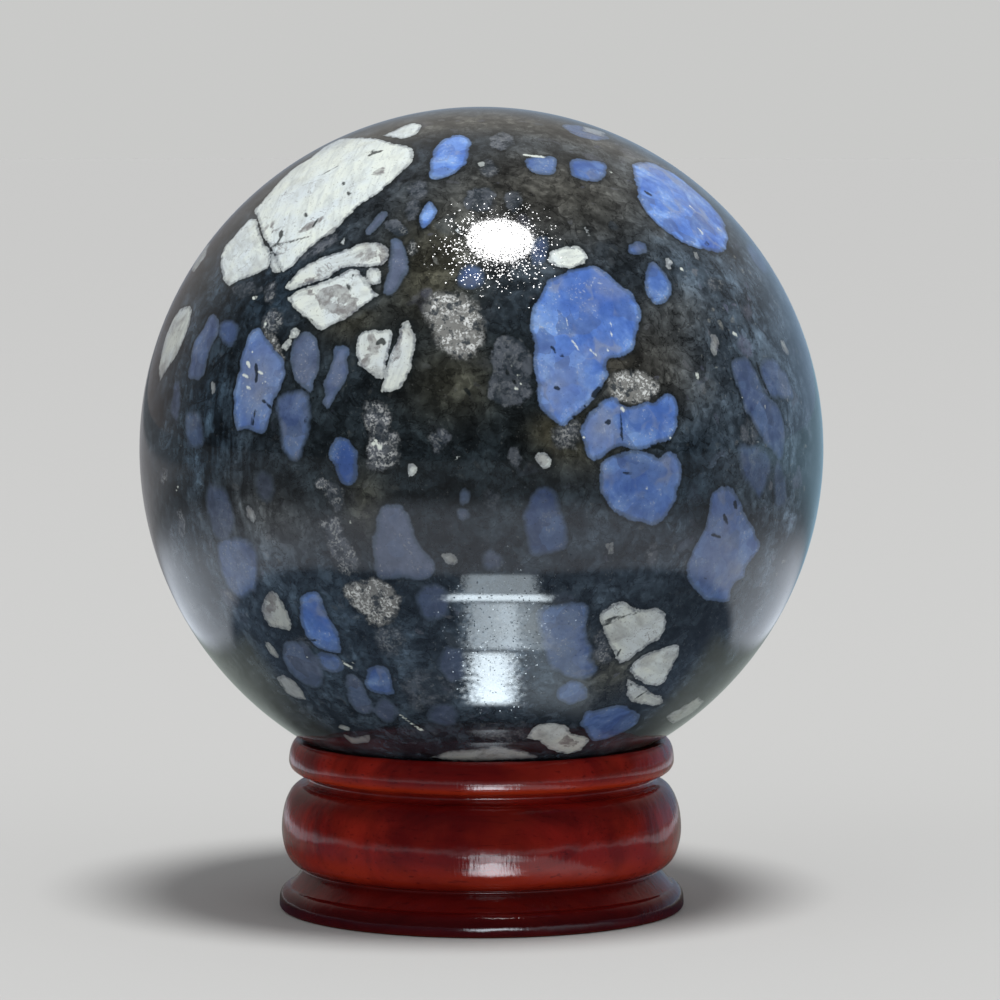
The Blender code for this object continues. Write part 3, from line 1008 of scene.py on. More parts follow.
    def quartz(self, sketch: StonePattern, edge: bpy.types.bpy_prop_collection) -> object:
        """Colours a blue grain: cloudy, in faint facets, with pale flaws and a greyer edge.

        Args:
            sketch: the material's tree.
            edge: the outputs of the mineral's edge group.

        Returns:
            The colour socket.
        """
        bright = sketch.ramp(sketch.cloud, (0.30, self.quartz_deep), (0.72, self.quartz_light),
                             (0.50, self.quartz_mid))
        dull = sketch.ramp(sketch.cloud, (0.32, self.quartz_dull), (0.70, self.quartz_pale))
        colour = sketch.mix(sketch.fade(edge["Tint"], -0.7, 0.4), dull, bright)
        far, chance, other, _ = sketch.cells(sketch.bent, 520.0)
        colour = sketch.mix(sketch.fade(chance, 0.55, 1.0, 0.0, 0.30), colour, self.quartz_light)
        colour = sketch.mix(sketch.fade(other, 0.50, 1.0, 0.0, 0.40), colour, self.quartz_dull)
        tone = sketch.attribute("tone")["Fac"]
        colour = sketch.mix(sketch.fade(tone, 0.0, -1.0, 0.0, 0.85), colour, self.quartz_deep)
        paler = sketch.math("ADD", sketch.fade(tone, 0.0, 1.0, 0.0, 0.65),
                            sketch.fade(sketch.patch, 0.52, 0.72, 0.0, 0.45))
        colour = sketch.mix(paler, colour, self.quartz_pale)
        seam = sketch.product(sketch.fade(far, 0.60, 0.74), sketch.fade(sketch.patch, 0.44, 0.60), 0.6)
        colour = sketch.mix(seam, colour, self.quartz_pale)
        frost = sketch.product(sketch.fade(sketch.grain, 0.58, 0.72), sketch.fade(sketch.cloud, 0.50, 0.62),
                               0.35)
        colour = sketch.mix(frost, colour, self.cluster_light)
        gain = sketch.product(sketch.fade(edge["Tint"], -0.6, 1.0, 0.62, 1.16),
                              sketch.fade(sketch.fine, 0.25, 0.75, 0.90, 1.10))
        colour = sketch.mix(1.0, colour, sketch.grey(gain), "MULTIPLY")
        shade = sketch.fade(edge["Depth"], 0.0, 0.50, 0.60, 0.0)
        return sketch.mix(shade, colour, self.slate)

    def feldspar(self, sketch: StonePattern, edge: bpy.types.bpy_prop_collection) -> object:
        """Colours a pale grain: drawn out along its length, with grey patches, stains and few cracks.

        Args:
            sketch: the material's tree.
            edge: the outputs of the mineral's edge group.

        Returns:
            The colour socket.
        """
        pair = [sketch.attribute(f"feldspar_{letter}_local")["Vector"] for letter in "ab"]
        local = sketch.add("Mix", {"Factor": edge["Second Share"], 4: pair[0], 5: pair[1]},
                           data_type="VECTOR").outputs[1]
        cleave = sketch.noise(sketch.stretch(local, (0.35, 1.5, 1.0)), 1.0, 3.0, 0.6, 0.5)
        colour = sketch.mix(sketch.fade(sketch.patch, 0.36, 0.64), self.feldspar_light, self.feldspar_blue)
        colour = sketch.mix(sketch.fade(cleave, 0.58, 0.28, 0.0, 0.85), colour, self.feldspar_mid)
        dullness = sketch.fade(edge["Tint"], -0.8, 0.9, 0.85, 0.22)
        grey = sketch.product(sketch.fade(sketch.cloud, 0.44, 0.74), dullness)
        colour = sketch.mix(grey, colour, self.feldspar_grey)
        overall = sketch.fade(edge["Tint"], -0.9, 0.3, 0.55, 0.0)
        colour = sketch.mix(overall, colour, self.feldspar_grey)
        split = sketch.math("ABSOLUTE", sketch.math("SUBTRACT", sketch.cloud, 0.47))
        crack = sketch.product(sketch.fade(split, 0.011, 0.002), sketch.fade(sketch.patch, 0.50, 0.60), 0.75)
        colour = sketch.mix(crack, colour, self.feldspar_grey)
        specks = sketch.product(sketch.fade(sketch.grain, 0.62, 0.74), 0.50)
        colour = sketch.mix(specks, colour, self.feldspar_grey)
        ragged = sketch.math("ADD", sketch.stains, sketch.fade(sketch.cloud, 0.3, 0.7, -0.7, 0.7))
        blot = sketch.product(sketch.fade(ragged, -0.12, 0.12),
                              sketch.fade(sketch.fine, 0.35, 0.62, 0.95, 0.45))
        colour = sketch.mix(blot, colour, self.feldspar_grey)
        shade = sketch.product(sketch.fade(edge["Depth"], 0.0, 0.36), -1.0)
        shade = sketch.product(sketch.math("ADD", shade, 1.0), sketch.fade(sketch.fine, 0.3, 0.6, 0.9, 0.4))
        return sketch.mix(shade, colour, self.cluster_mid)

    def cluster(self, sketch: StonePattern, edge: bpy.types.bpy_prop_collection) -> object:
        """Colours a cluster: small pale crystals packed in grey, brighter where its tint is.

        Args:
            sketch: the material's tree.
            edge: the outputs of the mineral's edge group.

        Returns:
            The colour socket.
        """
        chance = sketch.cells(sketch.bent, 1500.0)[1]
        light = sketch.product(sketch.fade(chance, 0.05, 0.70), sketch.fade(sketch.grain, 0.44, 0.58),
                               sketch.fade(sketch.fine, 0.40, 0.56, 0.12, 1.0),
                               sketch.fade(edge["Tint"], -1.0, 0.8, 0.06, 1.0))
        base = sketch.mix(sketch.fade(sketch.cloud, 0.36, 0.62), self.base, self.cluster_mid)
        base = sketch.mix(sketch.fade(edge["Tint"], -0.3, 0.9, 0.0, 0.85), base, self.cluster_pale)
        base = sketch.mix(sketch.fade(sketch.fine, 0.48, 0.38, 0.0, 0.85), base, self.base)
        return sketch.mix(light, base, self.cluster_light)

    def facets(self, sketch: StonePattern) -> object:
        """Tilts scattered tiny crystal faces, so that they glint where the rock sparkles.

        Args:
            sketch: the material's tree.

        Returns:
            The normal socket.
        """
        far, first, second, third = sketch.cells(sketch.place, self.facet_scale)
        share = sketch.fade(sketch.sparkle, 0.0, 1.0, 0.003, 0.96)
        chosen = sketch.product(sketch.math("LESS_THAN", first, share), sketch.fade(far, 0.66, 0.50))
        way = {"X": sketch.math("SUBTRACT", second, 0.5), "Y": sketch.math("SUBTRACT", third, 0.5),
               "Z": sketch.math("SUBTRACT", sketch.math("DIVIDE", first, share), 0.5)}
        tilt = sketch.add("VectorMath", {0: sketch.add("CombineXYZ", way).outputs["Vector"],
                                         "Scale": sketch.product(chosen, self.facet_tilt)},
                          operation="SCALE").outputs["Vector"]
        normal = sketch.add("NewGeometry").outputs["Normal"]
        return sketch.vector("NORMALIZE", sketch.vector("ADD", normal, tilt))


@dataclass(frozen=True)
class LacqueredWood:
    """Finish of the stand: red-brown stained wood under thick clear lacquer."""

    deep: Colour = (0.095, 0.004, 0.004)
    red: Colour = (0.215, 0.010, 0.007)
    warm: Colour = (0.400, 0.034, 0.010)
    # The dark of the pores, also the colour of the painted shade
    pore_and_shade: Colour = (0.030, 0.001, 0.002)
    raw: Colour = (0.160, 0.030, 0.018)
    refraction: float = 1.5
    coat: float = 0.65
    coat_roughness: float = 0.11
    brush_depth: float = 0.045 * MM

    def material(self) -> bpy.types.Material:
        """Builds the material, which reads how worn and how lacquered each place is, and how much painted
        shade darkens it.

        Returns:
            The material.
        """
        material = bpy.data.materials.new("lacquered_wood")
        material.use_nodes = True
        sketch = Sketch(material.node_tree)
        place = sketch.add("TexCoord").outputs["Object"]
        wear, lacquer, dim = (sketch.attribute(name)["Fac"] for name in ("wear", "lacquer", "dim"))
        figure = sketch.noise(sketch.stretch(place, (0.12, 1.0, 0.55)), 300.0, 4.0, 0.6, 0.8)
        blotch = sketch.noise(place, 130.0, 3.0, 0.55)
        fibre = sketch.noise(sketch.stretch(place, (0.06, 1.0, 1.0)), 3200.0, 2.0, 0.5)
        colour = sketch.mix(sketch.fade(figure, 0.30, 0.62), self.deep, self.red)
        colour = sketch.mix(sketch.fade(blotch, 0.46, 0.72, 0.0, 0.22), colour, self.warm)
        thin = sketch.product(wear, sketch.fade(blotch, 0.30, 0.60, 0.55, 1.0))
        colour = sketch.mix(thin, colour, self.warm)
        # Painted shade: darker under the lip, round the neck and over the foot, where dim is high
        colour = sketch.mix(sketch.product(dim, 0.92), colour, self.pore_and_shade)
        colour = sketch.mix(sketch.fade(fibre, 0.60, 0.72, 0.0, 0.45), colour, self.pore_and_shade)
        bare = sketch.fade(lacquer, 0.0, 1.0, 1.0, 0.0)
        colour = sketch.mix(bare, colour, self.raw)
        brush = sketch.noise(sketch.stretch(place, (1.0, 1.0, 0.16)), 2400.0, 2.0, 0.6)
        peel = sketch.noise(place, 520.0, 1.0, 0.5)
        height = sketch.math("ADD", sketch.product(brush, 0.7), peel)
        relief = sketch.add("Bump", {"Strength": 1.0, "Distance": self.brush_depth, "Height": height})
        shader = material.node_tree.nodes["Principled BSDF"]
        shader.inputs["IOR"].default_value = self.refraction
        shader.inputs["Specular IOR Level"].default_value = 0.0
        shader.inputs["Coat Roughness"].default_value = self.coat_roughness
        shader.inputs["Coat IOR"].default_value = self.refraction
        sketch.feed(shader.inputs["Base Color"], colour)
        sketch.feed(shader.inputs["Roughness"], sketch.fade(lacquer, 0.0, 1.0, 0.60, 0.40))
        sketch.feed(shader.inputs["Coat Weight"], sketch.product(lacquer, self.coat))
        sketch.feed(shader.inputs["Normal"], relief.outputs["Normal"])
        sketch.feed(shader.inputs["Coat Normal"], relief.outputs["Normal"])
        return material


@dataclass(frozen=True)
class Glare:
    """A soft patch of light on the floor, where only polished surfaces see it.

    It lies between two distances from the stand. Its left and right sides are where the ball mirrors them,
    in pixels of the picture.
    """

    near_mm: float
    far_mm: float
    left_px: float
    right_px: float
    strength: float
    soft_mm: float = 1.0
    soft_px: float = 6.0


@dataclass(frozen=True)
class PaleFloor:
    """Finish of the floor: plain, pale and matt.

    Polished surfaces see a painted reflection of it instead: a painted shadow in an oval round the stand,
    painted glare in front, painted light beside and behind the stand, and dim far off. A pair of distances
    is where such a change begins and ends. Ahead is towards the camera, and wide is to either side of the
    stand.
    """

    colour: Colour = (0.52, 0.52, 0.51)
    lit: Colour = (0.62, 0.66, 0.74)
    shaded: Colour = (0.11, 0.15, 0.22)
    sheen: Colour = (0.80, 0.92, 1.00)
    roughness: float = 0.40
    shade_size: tuple[float, float, float] = (79.0 * MM, 54.0 * MM, 1.0)
    shade_ahead: float = 22.0 * MM
    far_mm: tuple[float, float] = (130.0, 250.0)
    far: Colour = (0.13, 0.14, 0.15)
    rear_left: Colour = (0.29, 0.29, 0.30)
    rear_right: Colour = (0.26, 0.40, 0.50)
    behind: Colour = (0.30, 0.34, 0.32)
    beside: float = 0.42
    strip_wide_mm: tuple[float, float] = (60.0, 50.0)
    strip_ahead_mm: tuple[float, float] = (4.0, -8.0)
    dimmer_wide_mm: tuple[float, float] = (90.0, 150.0)
    rear_right_mm: tuple[float, float] = (-100.0, 100.0)
    turned_ahead_mm: tuple[float, float] = (-60.0, -300.0)
    turned_right_mm: tuple[float, float] = (-600.0, -350.0)
    beside_away_mm: tuple[float, float] = (240.0, 90.0)
    beside_ahead_mm: tuple[float, float] = (30.0, -10.0)
    beside_wide_mm: tuple[float, float] = (150.0, 95.0)
    column_shift: tuple[float, float] = (1.375, 57.5)
    column_width: tuple[float, float] = (0.00283, 0.12)
    ragged_px: float = 9.0
    glares: tuple[Glare, ...] = (
        Glare(24.5, 39.4, 473.0, 512.0, 19.0, 1.0, 12.0),
        Glare(40.8, 59.0, 470.0, 520.0, 7.5, 1.0, 9.0),
        Glare(40.8, 59.0, 500.0, 546.0, 3.6, 1.0, 18.0),
        Glare(60.2, 63.4, 448.0, 556.0, 19.0, 0.7, 12.0),
        Glare(64.0, 75.5, 464.0, 545.0, 5.0, 1.0, 6.0),
        Glare(24.0, 58.0, 520.0, 592.0, 1.2, 4.0, 12.0),
    )

    def material(self) -> bpy.types.Material:
        """Builds the material.

        Returns:
            The material.
        """
        material = bpy.data.materials.new("pale_floor")
        material.use_nodes = True
        material.cycles.emission_sampling = "NONE"
        sketch = Sketch(material.node_tree)
        place = sketch.add("TexCoord").outputs["Object"]
        axes = sketch.add("SeparateXYZ", {"Vector": place}).outputs
        away = sketch.product(sketch.length(place), 1 / MM)
        ahead = sketch.product(axes["Y"], -1 / MM)
        right = sketch.product(axes["X"], 1 / MM)
        wide = sketch.math("ABSOLUTE", right)
        centred = sketch.vector("ADD", place, (0.0, self.shade_ahead, 0.0))
        beyond = sketch.fade(sketch.length(sketch.vector("DIVIDE", centred, self.shade_size)), 0.93, 1.06)
        strip = sketch.product(sketch.fade(wide, *self.strip_wide_mm),
                               sketch.fade(ahead, *self.strip_ahead_mm))
        seen = sketch.mix(beyond, self.shaded, self.lit)
        seen = sketch.mix(sketch.fade(wide, *self.dimmer_wide_mm, 0.0, 0.6), seen, self.far)
        seen = sketch.mix(strip, seen, self.behind)
        rear = sketch.mix(sketch.fade(right, *self.rear_right_mm), self.rear_left, self.rear_right)
        turned = sketch.product(sketch.fade(ahead, *self.turned_ahead_mm),
                                sketch.fade(right, *self.turned_right_mm))
        far = sketch.mix(turned, self.far, rear)
        seen = sketch.mix(sketch.fade(away, *self.far_mm), seen, far)
        side = sketch.product(beyond, sketch.fade(away, *self.beside_away_mm),
                              sketch.fade(ahead, *self.beside_ahead_mm),
                              sketch.fade(wide, *self.beside_wide_mm, 0.35, 1.0),
                              sketch.fade(strip, 1.0, 0.0), self.beside)
        glow = sketch.math("ADD", self.glare(sketch, place, away, ahead, right), side)
        # Painted reflection: only glossy rays see the painted shadow, painted light and glowing glare; other
        # rays see the plain pale colour
        gloss = sketch.add("LightPath").outputs["Is Glossy Ray"]
        shader = material.node_tree.nodes["Principled BSDF"]
        sketch.feed(shader.inputs["Base Color"], sketch.mix(gloss, self.colour, seen))
        sketch.feed(shader.inputs["Emission Color"], self.sheen)
        sketch.feed(shader.inputs["Emission Strength"], sketch.product(gloss, glow))
        shader.inputs["Roughness"].default_value = self.roughness
        shader.inputs["Specular IOR Level"].default_value = 0.0
        return material

    def glare(self, sketch: Sketch, place: object, away: object, ahead: object, right: object) -> object:
        """Adds up the patches of glare.

        Args:
            sketch: the material's tree.
            place: coordinates on the floor.
            away: distance from the stand's axis, in millimetres.
            ahead, right: how far a place is to the front and to the right, in millimetres.

        Returns:
            The brightness socket.
        """
        shifted = sketch.math("ADD", self.line(sketch, ahead, self.column_shift), right)
        column = sketch.math("DIVIDE", shifted, self.line(sketch, ahead, self.column_width))
        ragged = sketch.centred_noise(sketch.noise(place, 900.0, 2.0), self.ragged_px)
        column = sketch.math("ADD", column, ragged)
        total = 0.0
        for glare in self.glares:
            patch = sketch.product(
                sketch.fade(away, glare.near_mm - glare.soft_mm, glare.near_mm + glare.soft_mm),
                sketch.fade(away, glare.far_mm + glare.soft_mm, glare.far_mm - glare.soft_mm),
                sketch.fade(column, glare.left_px - glare.soft_px, glare.left_px + glare.soft_px),
                sketch.fade(column, glare.right_px + glare.soft_px, glare.right_px - glare.soft_px),
                sketch.math("GREATER_THAN", ahead, 10.0))
            total = sketch.math("ADD", total, sketch.product(patch, glare.strength))
        return total

    @staticmethod
    def line(sketch: Sketch, value: object, slope_and_start: tuple[float, float]) -> object:
        """Multiplies a number by a slope and adds a start."""
        return sketch.math("ADD", sketch.product(value, slope_and_start[0]), slope_and_start[1])


@dataclass
class PhotoCamera:
    """The camera, where the picture was taken from.

    It stands in front of the object, at the height that makes the stand's ellipses as round as they show.
    """

    distance: float = 0.450
    height: float = 0.073
    sensor_mm: float = 36.0
    frame_px: float = 1000.0
    ball_centre_px: Pixel = (481.5, 449.0)
    ball_radius_px: float = 342.0
    centre: np.ndarray = field(default=None, init=False)
    radius: float = field(default=0.0, init=False)
    eye: np.ndarray = field(default=None, init=False)
    axes: np.ndarray = field(default=None, init=False)
    focal_px: float = field(default=0.0, init=False)

    def aim(self, centre: np.ndarray, radius: float) -> None:
        """Turns the camera, and picks its lens, so that the ball fills its place in the picture.

        Args:
            centre: centre of the ball.
            radius: radius of the ball.
        """
        self.centre = centre
        self.radius = radius
        self.eye = np.array([0.0, -self.distance, self.height])
        reach = centre - self.eye
        far = np.linalg.norm(reach)
        self.focal_px = self.ball_radius_px * math.sqrt(far**2 - radius**2) / radius
        right = np.array([1.0, 0.0, 0.0])
        up = np.cross(right, reach / far)
        half = self.frame_px / 2
        shift = right * (half - self.ball_centre_px[0]) - up * (half - self.ball_centre_px[1])
        ahead = unit(reach / far * self.focal_px + shift)
        right = unit(np.cross(ahead, (0.0, 0.0, 1.0)))
        self.axes = np.array([right, np.cross(right, ahead), ahead])

    def ray(self, pixel: Pixel) -> np.ndarray:
        """Finds the direction in which a pixel looks."""
        half = self.frame_px / 2
        return unit(self.axes.T @ np.array([pixel[0] - half, half - pixel[1], self.focal_px]))

    def spot(self, pixel: Pixel) -> np.ndarray:
        """Finds the place on the ball that shows at a pixel.

        Args:
            pixel: place in the picture.

        Returns:
            The direction of that place from the ball's centre. A pixel off the ball gives its nearest edge.
        """
        ray = self.ray(pixel)
        reach = self.eye - self.centre
        along = reach @ ray
        gap = along**2 - reach @ reach + self.radius**2
        return unit(reach + ray * (-along - math.sqrt(max(gap, 0.0))))

    def mirrored(self, pixel: Pixel) -> tuple[np.ndarray, np.ndarray]:
        """Finds what the ball mirrors at a pixel.

        Args:
            pixel: place in the picture.

        Returns:
            The place on the ball, and the direction of what shows in it.
        """
        ray = self.ray(pixel)
        normal = self.spot(pixel)
        return self.centre + normal * self.radius, ray - 2 * (ray @ normal) * normal

    def build(self) -> bpy.types.Object:
        """Makes the camera and has the scene use it.

        Returns:
            The camera.
        """
        data = bpy.data.cameras.new("photo_camera")
        data.sensor_width = self.sensor_mm
        data.lens = self.focal_px * self.sensor_mm / self.frame_px
        data.clip_start, data.clip_end = 0.01, 30.0
        camera = bpy.data.objects.new("photo_camera", data)
        bpy.context.scene.collection.objects.link(camera)
        camera.location = self.eye
        camera.rotation_mode = "QUATERNION"
        camera.rotation_quaternion = Vector(self.axes[2]).to_track_quat("-Z", "Y")
        bpy.context.scene.camera = camera
        return camera


class GrainMap:
    """The grains of one stone ball, as numbers on the vertices of its mesh.

    Each mineral has two channels. Grains that nearly touch go in different ones, so that the thin line of
    rock between them stays.
    """

    away_mm: float = -6.0
    apart_mm: float = 1.1
    mark_reach_mm: float = 2.5
    mark_spread_mm: float = 0.05
    pattern_step: float = 7.3  # keeps the cleavage of one grain apart from the next one's

    def __init__(self, directions: np.ndarray, radius: float) -> None:
        """Starts with bare rock.

        Args:
            directions: unit vector from the ball's centre to each vertex.
            radius: radius of the ball.
        """
        self.directions = directions
        self.radius = radius
        self.values = {}
        self.local = {}
        for mineral in Mineral:
            for letter in "ab":
                name = f"{mineral.value}_{letter}"
                self.values[name] = np.tile((self.away_mm, 0.0, 0.0, 0.1), (len(directions), 1))
                self.local[name] = np.zeros((len(directions), 3))
        self.traces = {kind: np.full(len(directions), self.away_mm) for kind in Trace}
        self.count = 0

    def flatten(self, centre: np.ndarray, places: np.ndarray) -> np.ndarray:
        """Lays places round a centre flat, true to their distance and direction from it.

        Args:
            centre: unit vector to the centre.
            places: unit vectors, one a row.

        Returns:
            Flat coordinates in millimetres, one a row.
        """
        side = unit(np.cross(centre, (0.0, 0.0, 1.0)))
        rise = np.cross(side, centre)
        angle = np.arccos(np.clip(places @ centre, -1, 1))
        stretch = self.radius / MM * angle / np.maximum(np.sin(angle), TINY)
        return np.stack([places @ side * stretch, places @ rise * stretch], axis=1)

    def round_about(self, loop: np.ndarray, beyond_mm: float) -> tuple[np.ndarray, np.ndarray, np.ndarray]:
        """Finds the vertices near a loop of directions.

        Args:
            loop: unit vectors, one a row.
            beyond_mm: how far past the loop to look.

        Returns:
            The numbers of the vertices, their flat places, and the loop's flat places, in millimetres.
        """
        centre = unit(loop.mean(axis=0))
        flat = self.flatten(centre, loop)
        reach = (np.linalg.norm(flat, axis=1).max() + beyond_mm) * MM / self.radius
        near = np.nonzero(self.directions @ centre > math.cos(min(reach, 3.0)))[0]
        return near, self.flatten(centre, self.directions[near]), flat

    def add(self, loop: np.ndarray, grain: Inclusion) -> None:
        """Adds one grain.

        Args:
            loop: unit vectors to the corners of its outline, one a row.
            grain: what it is made of.
        """
        near, places, outline = self.round_about(loop, -self.away_mm / 2)
        if grain.rounded:
            outline = smooth_loop(outline)
        edge = signed_distance(places, outline)
        names = [f"{grain.mineral.value}_{letter}" for letter in "ab"]
        name = names[0]
        if np.minimum(edge, self.values[name][near, 0]).max() > -self.apart_mm / 2:
            name = names[1]
        closer = edge > self.values[name][near, 0]
        chosen = near[closer]
        self.values[name][chosen] = np.stack([
            edge[closer], np.full(len(chosen), grain.tint), np.full(len(chosen), grain.veil),
            np.full(len(chosen), grain.soft_mm)], axis=1)
        spread = outline - outline.mean(axis=0)
        long_way = np.linalg.svd(spread, full_matrices=False)[2][0]
        across = np.array([-long_way[1], long_way[0]])
        self.local[name][chosen] = np.stack([
            places[closer] @ long_way, places[closer] @ across,
            np.full(len(chosen), self.count * self.pattern_step)], axis=1)
        self.count += 1

    def draw(self, kind: Trace, path: np.ndarray, width_mm: float) -> None:
        """Draws a mark.

        Args:
            kind: what it is.
            path: unit vectors to its points, one a row.
            width_mm: how wide it is.
        """
        near, places, points = self.round_about(path, self.mark_reach_mm)
        ends = points[1:] if len(points) > 1 else points
        gap = np.min([stretch_distance(places, start, end) for start, end in zip(points, ends)], axis=0)
        inside = width_mm / 2 + self.mark_spread_mm - gap
        self.traces[kind][near] = np.maximum(self.traces[kind][near], inside)

    def store(self, mesh: bpy.types.Mesh) -> None:
        """Writes the grains to the mesh as attributes.

        Args:
            mesh: the ball's mesh.
        """
        for name, values in self.values.items():
            layer = mesh.attributes.new(name, "FLOAT_COLOR", "POINT")
            layer.data.foreach_set("color", values.astype(np.float32).ravel())
        for name, values in self.local.items():
            if name.startswith(Mineral.FELDSPAR.value):
                layer = mesh.attributes.new(name + "_local", "FLOAT_VECTOR", "POINT")
                layer.data.foreach_set("vector", values.astype(np.float32).ravel())


@dataclass
class StoneBall:
    """The polished stone ball.

    The hidden grains, zones and marks are those on the sides that the picture doesn't show. They are drawn
    at random, in the sizes and the mix of kinds that show in front.
    """

    cuts: int = 126
    crowding: float = 1.6  # how much finer the mesh is where it faces the camera
    hidden_grains: int = 300
    grain_mm: float = 1.35  # half the length of a middling grain
    grain_spread: float = 0.72
    grain_limits_mm: tuple[float, float] = (0.4, 6.2)
    grain_mix: tuple[float, float, float] = (0.28, 0.46, 0.26)  # in the order of the minerals
    grain_overlap: float = 0.82  # how close grains lie, as a share of their half lengths
    grain_gap_mm: float = 0.1
    tries: int = 24
    hidden_zones: int = 34
    zone_limits_mm: tuple[float, float] = (4.0, 11.0)
    hidden_marks: int = 90
    mark_limits_mm: tuple[float, float] = (0.14, 0.34)
    base_weight: float = 0.45
    base_sparkle: float = 0.02
    seed: int = 41
    edge_on: float = 0.10  # cosine of the angle at which the picture's grains end
    finish: PolishedStone = field(default_factory=PolishedStone)
    centre: np.ndarray = field(default=None, init=False)
    radius: float = field(default=0.0, init=False)

    def __post_init__(self) -> None:
        """Takes the ball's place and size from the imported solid."""
        low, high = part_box("stone_ball")
        self.radius = (high.z - low.z) / 2
        self.centre = np.array((low + high) / 2)

    def build(self, camera: PhotoCamera) -> bpy.types.Object:
        """Makes the ball.

        Args:
            camera: the camera that the grains are placed through.

        Returns:
            The finished piece.
        """
        shape = bmesh.new()
        bmesh.ops.create_cube(shape, size=2.0)
        bmesh.ops.subdivide_edges(shape, edges=shape.edges[:], cuts=self.cuts, use_grid_fill=True)
        mesh = bpy.data.meshes.new("polished_ball")
        shape.to_mesh(mesh)
        shape.free()
        places = np.zeros(len(mesh.vertices) * 3)
        mesh.vertices.foreach_get("co", places)
        directions = np.tan(places.reshape(-1, 3) * math.pi / 4)
        directions /= np.linalg.norm(directions, axis=1)[:, None]
        toward = unit(camera.eye - self.centre)
        directions = self.crowd(directions, toward)
        mesh.vertices.foreach_set("co", (directions * self.radius + self.centre).ravel())
        grains = GrainMap(directions, self.radius)
        self.place_seen(grains, camera)
        self.scatter_unseen(grains, toward)
        grains.store(mesh)
        self.store_ground(mesh, grains, camera, toward)
        mesh.shade_smooth()
        mesh.materials.append(self.finish.material())
        ball = bpy.data.objects.new("polished_ball", mesh)
        bpy.context.scene.collection.objects.link(ball)
        LOG.info("polished_ball: %d faces, %d grains", len(mesh.polygons), grains.count)
        return ball

    def crowd(self, directions: np.ndarray, toward: np.ndarray) -> np.ndarray:
        """Crowds vertices towards the camera, by scaling the ball's flat map from its far side.

        Args:
            directions: unit vector from the ball's centre to each vertex.
            toward: unit vector to the camera.

        Returns:
            The new directions.
        """
        along = directions @ toward
        flat = (directions - np.outer(along, toward)) / (1 + along)[:, None] / self.crowding
        square = (flat**2).sum(axis=1)
        moved = (2 * flat + np.outer(1 - square, toward)) / (1 + square)[:, None]
        return moved / np.linalg.norm(moved, axis=1)[:, None]

    def place_seen(self, grains: GrainMap, camera: PhotoCamera) -> None:
        """Adds the grains and marks that the picture shows.

        Args:
            grains: the ball's grains.
            camera: the camera that they are placed through.
        """
        for grain in CLUSTERS + QUARTZES + FELDSPARS:
            grains.add(np.array([camera.spot(pixel) for pixel in grain.outline]), grain)
        px_mm = self.radius / MM / camera.ball_radius_px
        for mark in MARKS:
            path = np.array([camera.spot(pixel) for pixel in mark.path])
            grains.draw(mark.kind, path, mark.width_px * px_mm)

    def scatter_unseen(self, grains: GrainMap, toward: np.ndarray) -> None:
        """Adds grains and marks of the same kinds to the sides that the picture doesn't show.

        Args:
            grains: the ball's grains.
            toward: unit vector to the camera.
        """
        draw = np.random.default_rng(self.seed)
        sizes = draw.lognormal(math.log(self.grain_mm), self.grain_spread, self.hidden_grains)
        taken = []
        for size in sorted(np.clip(sizes, *self.grain_limits_mm), reverse=True):
            for _ in range(self.tries):
                way = unit(draw.normal(size=3))
                if way @ toward > self.edge_on - size * MM / self.radius:
                    continue
                gaps = [math.acos(np.clip(way @ other, -1, 1)) * self.radius / MM
                        - self.grain_overlap * (size + wide) for other, wide in taken]
                if not gaps or min(gaps) > self.grain_gap_mm:
                    taken.append((way, size))
                    kind = draw.choice(list(Mineral), p=self.grain_mix)
                    grains.add(self.random_loop(way, size, kind, draw), self.random_grain(kind, draw))
                    break
        for _ in range(self.hidden_marks):
            way = unit(draw.normal(size=3))
            if way @ toward < 0:
                step = draw.normal(size=3) * draw.uniform(0.3, 1.6) * MM / self.radius
                kind = draw.choice([Trace.DARK, Trace.LIGHT], p=(0.7, 0.3))
                grains.draw(kind, np.array([way, unit(way + step)]), draw.uniform(*self.mark_limits_mm))

    def random_loop(self, way: np.ndarray, size: float, kind: Mineral,
                    draw: np.random.Generator) -> np.ndarray:
        """Outlines a grain, with fewer corners if it is feldspar.

        Args:
            way: unit vector to its middle.
            size: half its length, in millimetres.
            kind: its mineral.
            draw: the random numbers.

        Returns:
            Unit vectors to its corners, one a row.
        """
        side = unit(np.cross(way, draw.normal(size=3)))
        rise = np.cross(way, side)
        corners = 8 if kind is Mineral.FELDSPAR else 11
        slim = draw.uniform(0.42, 0.95)
        turns = (np.arange(corners) + draw.uniform(-0.34, 0.34, corners)) * math.tau / corners
        reach = size * MM / self.radius * draw.uniform(0.76, 1.16, corners)
        loop = way + np.outer(reach * np.cos(turns), side) + np.outer(reach * slim * np.sin(turns), rise)
        return loop / np.linalg.norm(loop, axis=1)[:, None]

    def random_grain(self, kind: Mineral, draw: np.random.Generator) -> Inclusion:
        """Picks how a grain on the unseen side looks.

        Args:
            kind: its mineral.
            draw: the random numbers.

        Returns:
            The grain, without an outline.
        """
        veil = float(draw.choice((0.0, 0.1, 0.3, 0.5), p=(0.35, 0.25, 0.25, 0.15)))
        soft = {Mineral.FELDSPAR: 0.05, Mineral.QUARTZ: 0.09 + 0.3 * veil, Mineral.CLUSTER: 0.30}[kind]
        tint = float(draw.uniform(-0.6, 0.8))
        return Inclusion(kind, (), tint, veil, soft, rounded=kind is not Mineral.FELDSPAR)

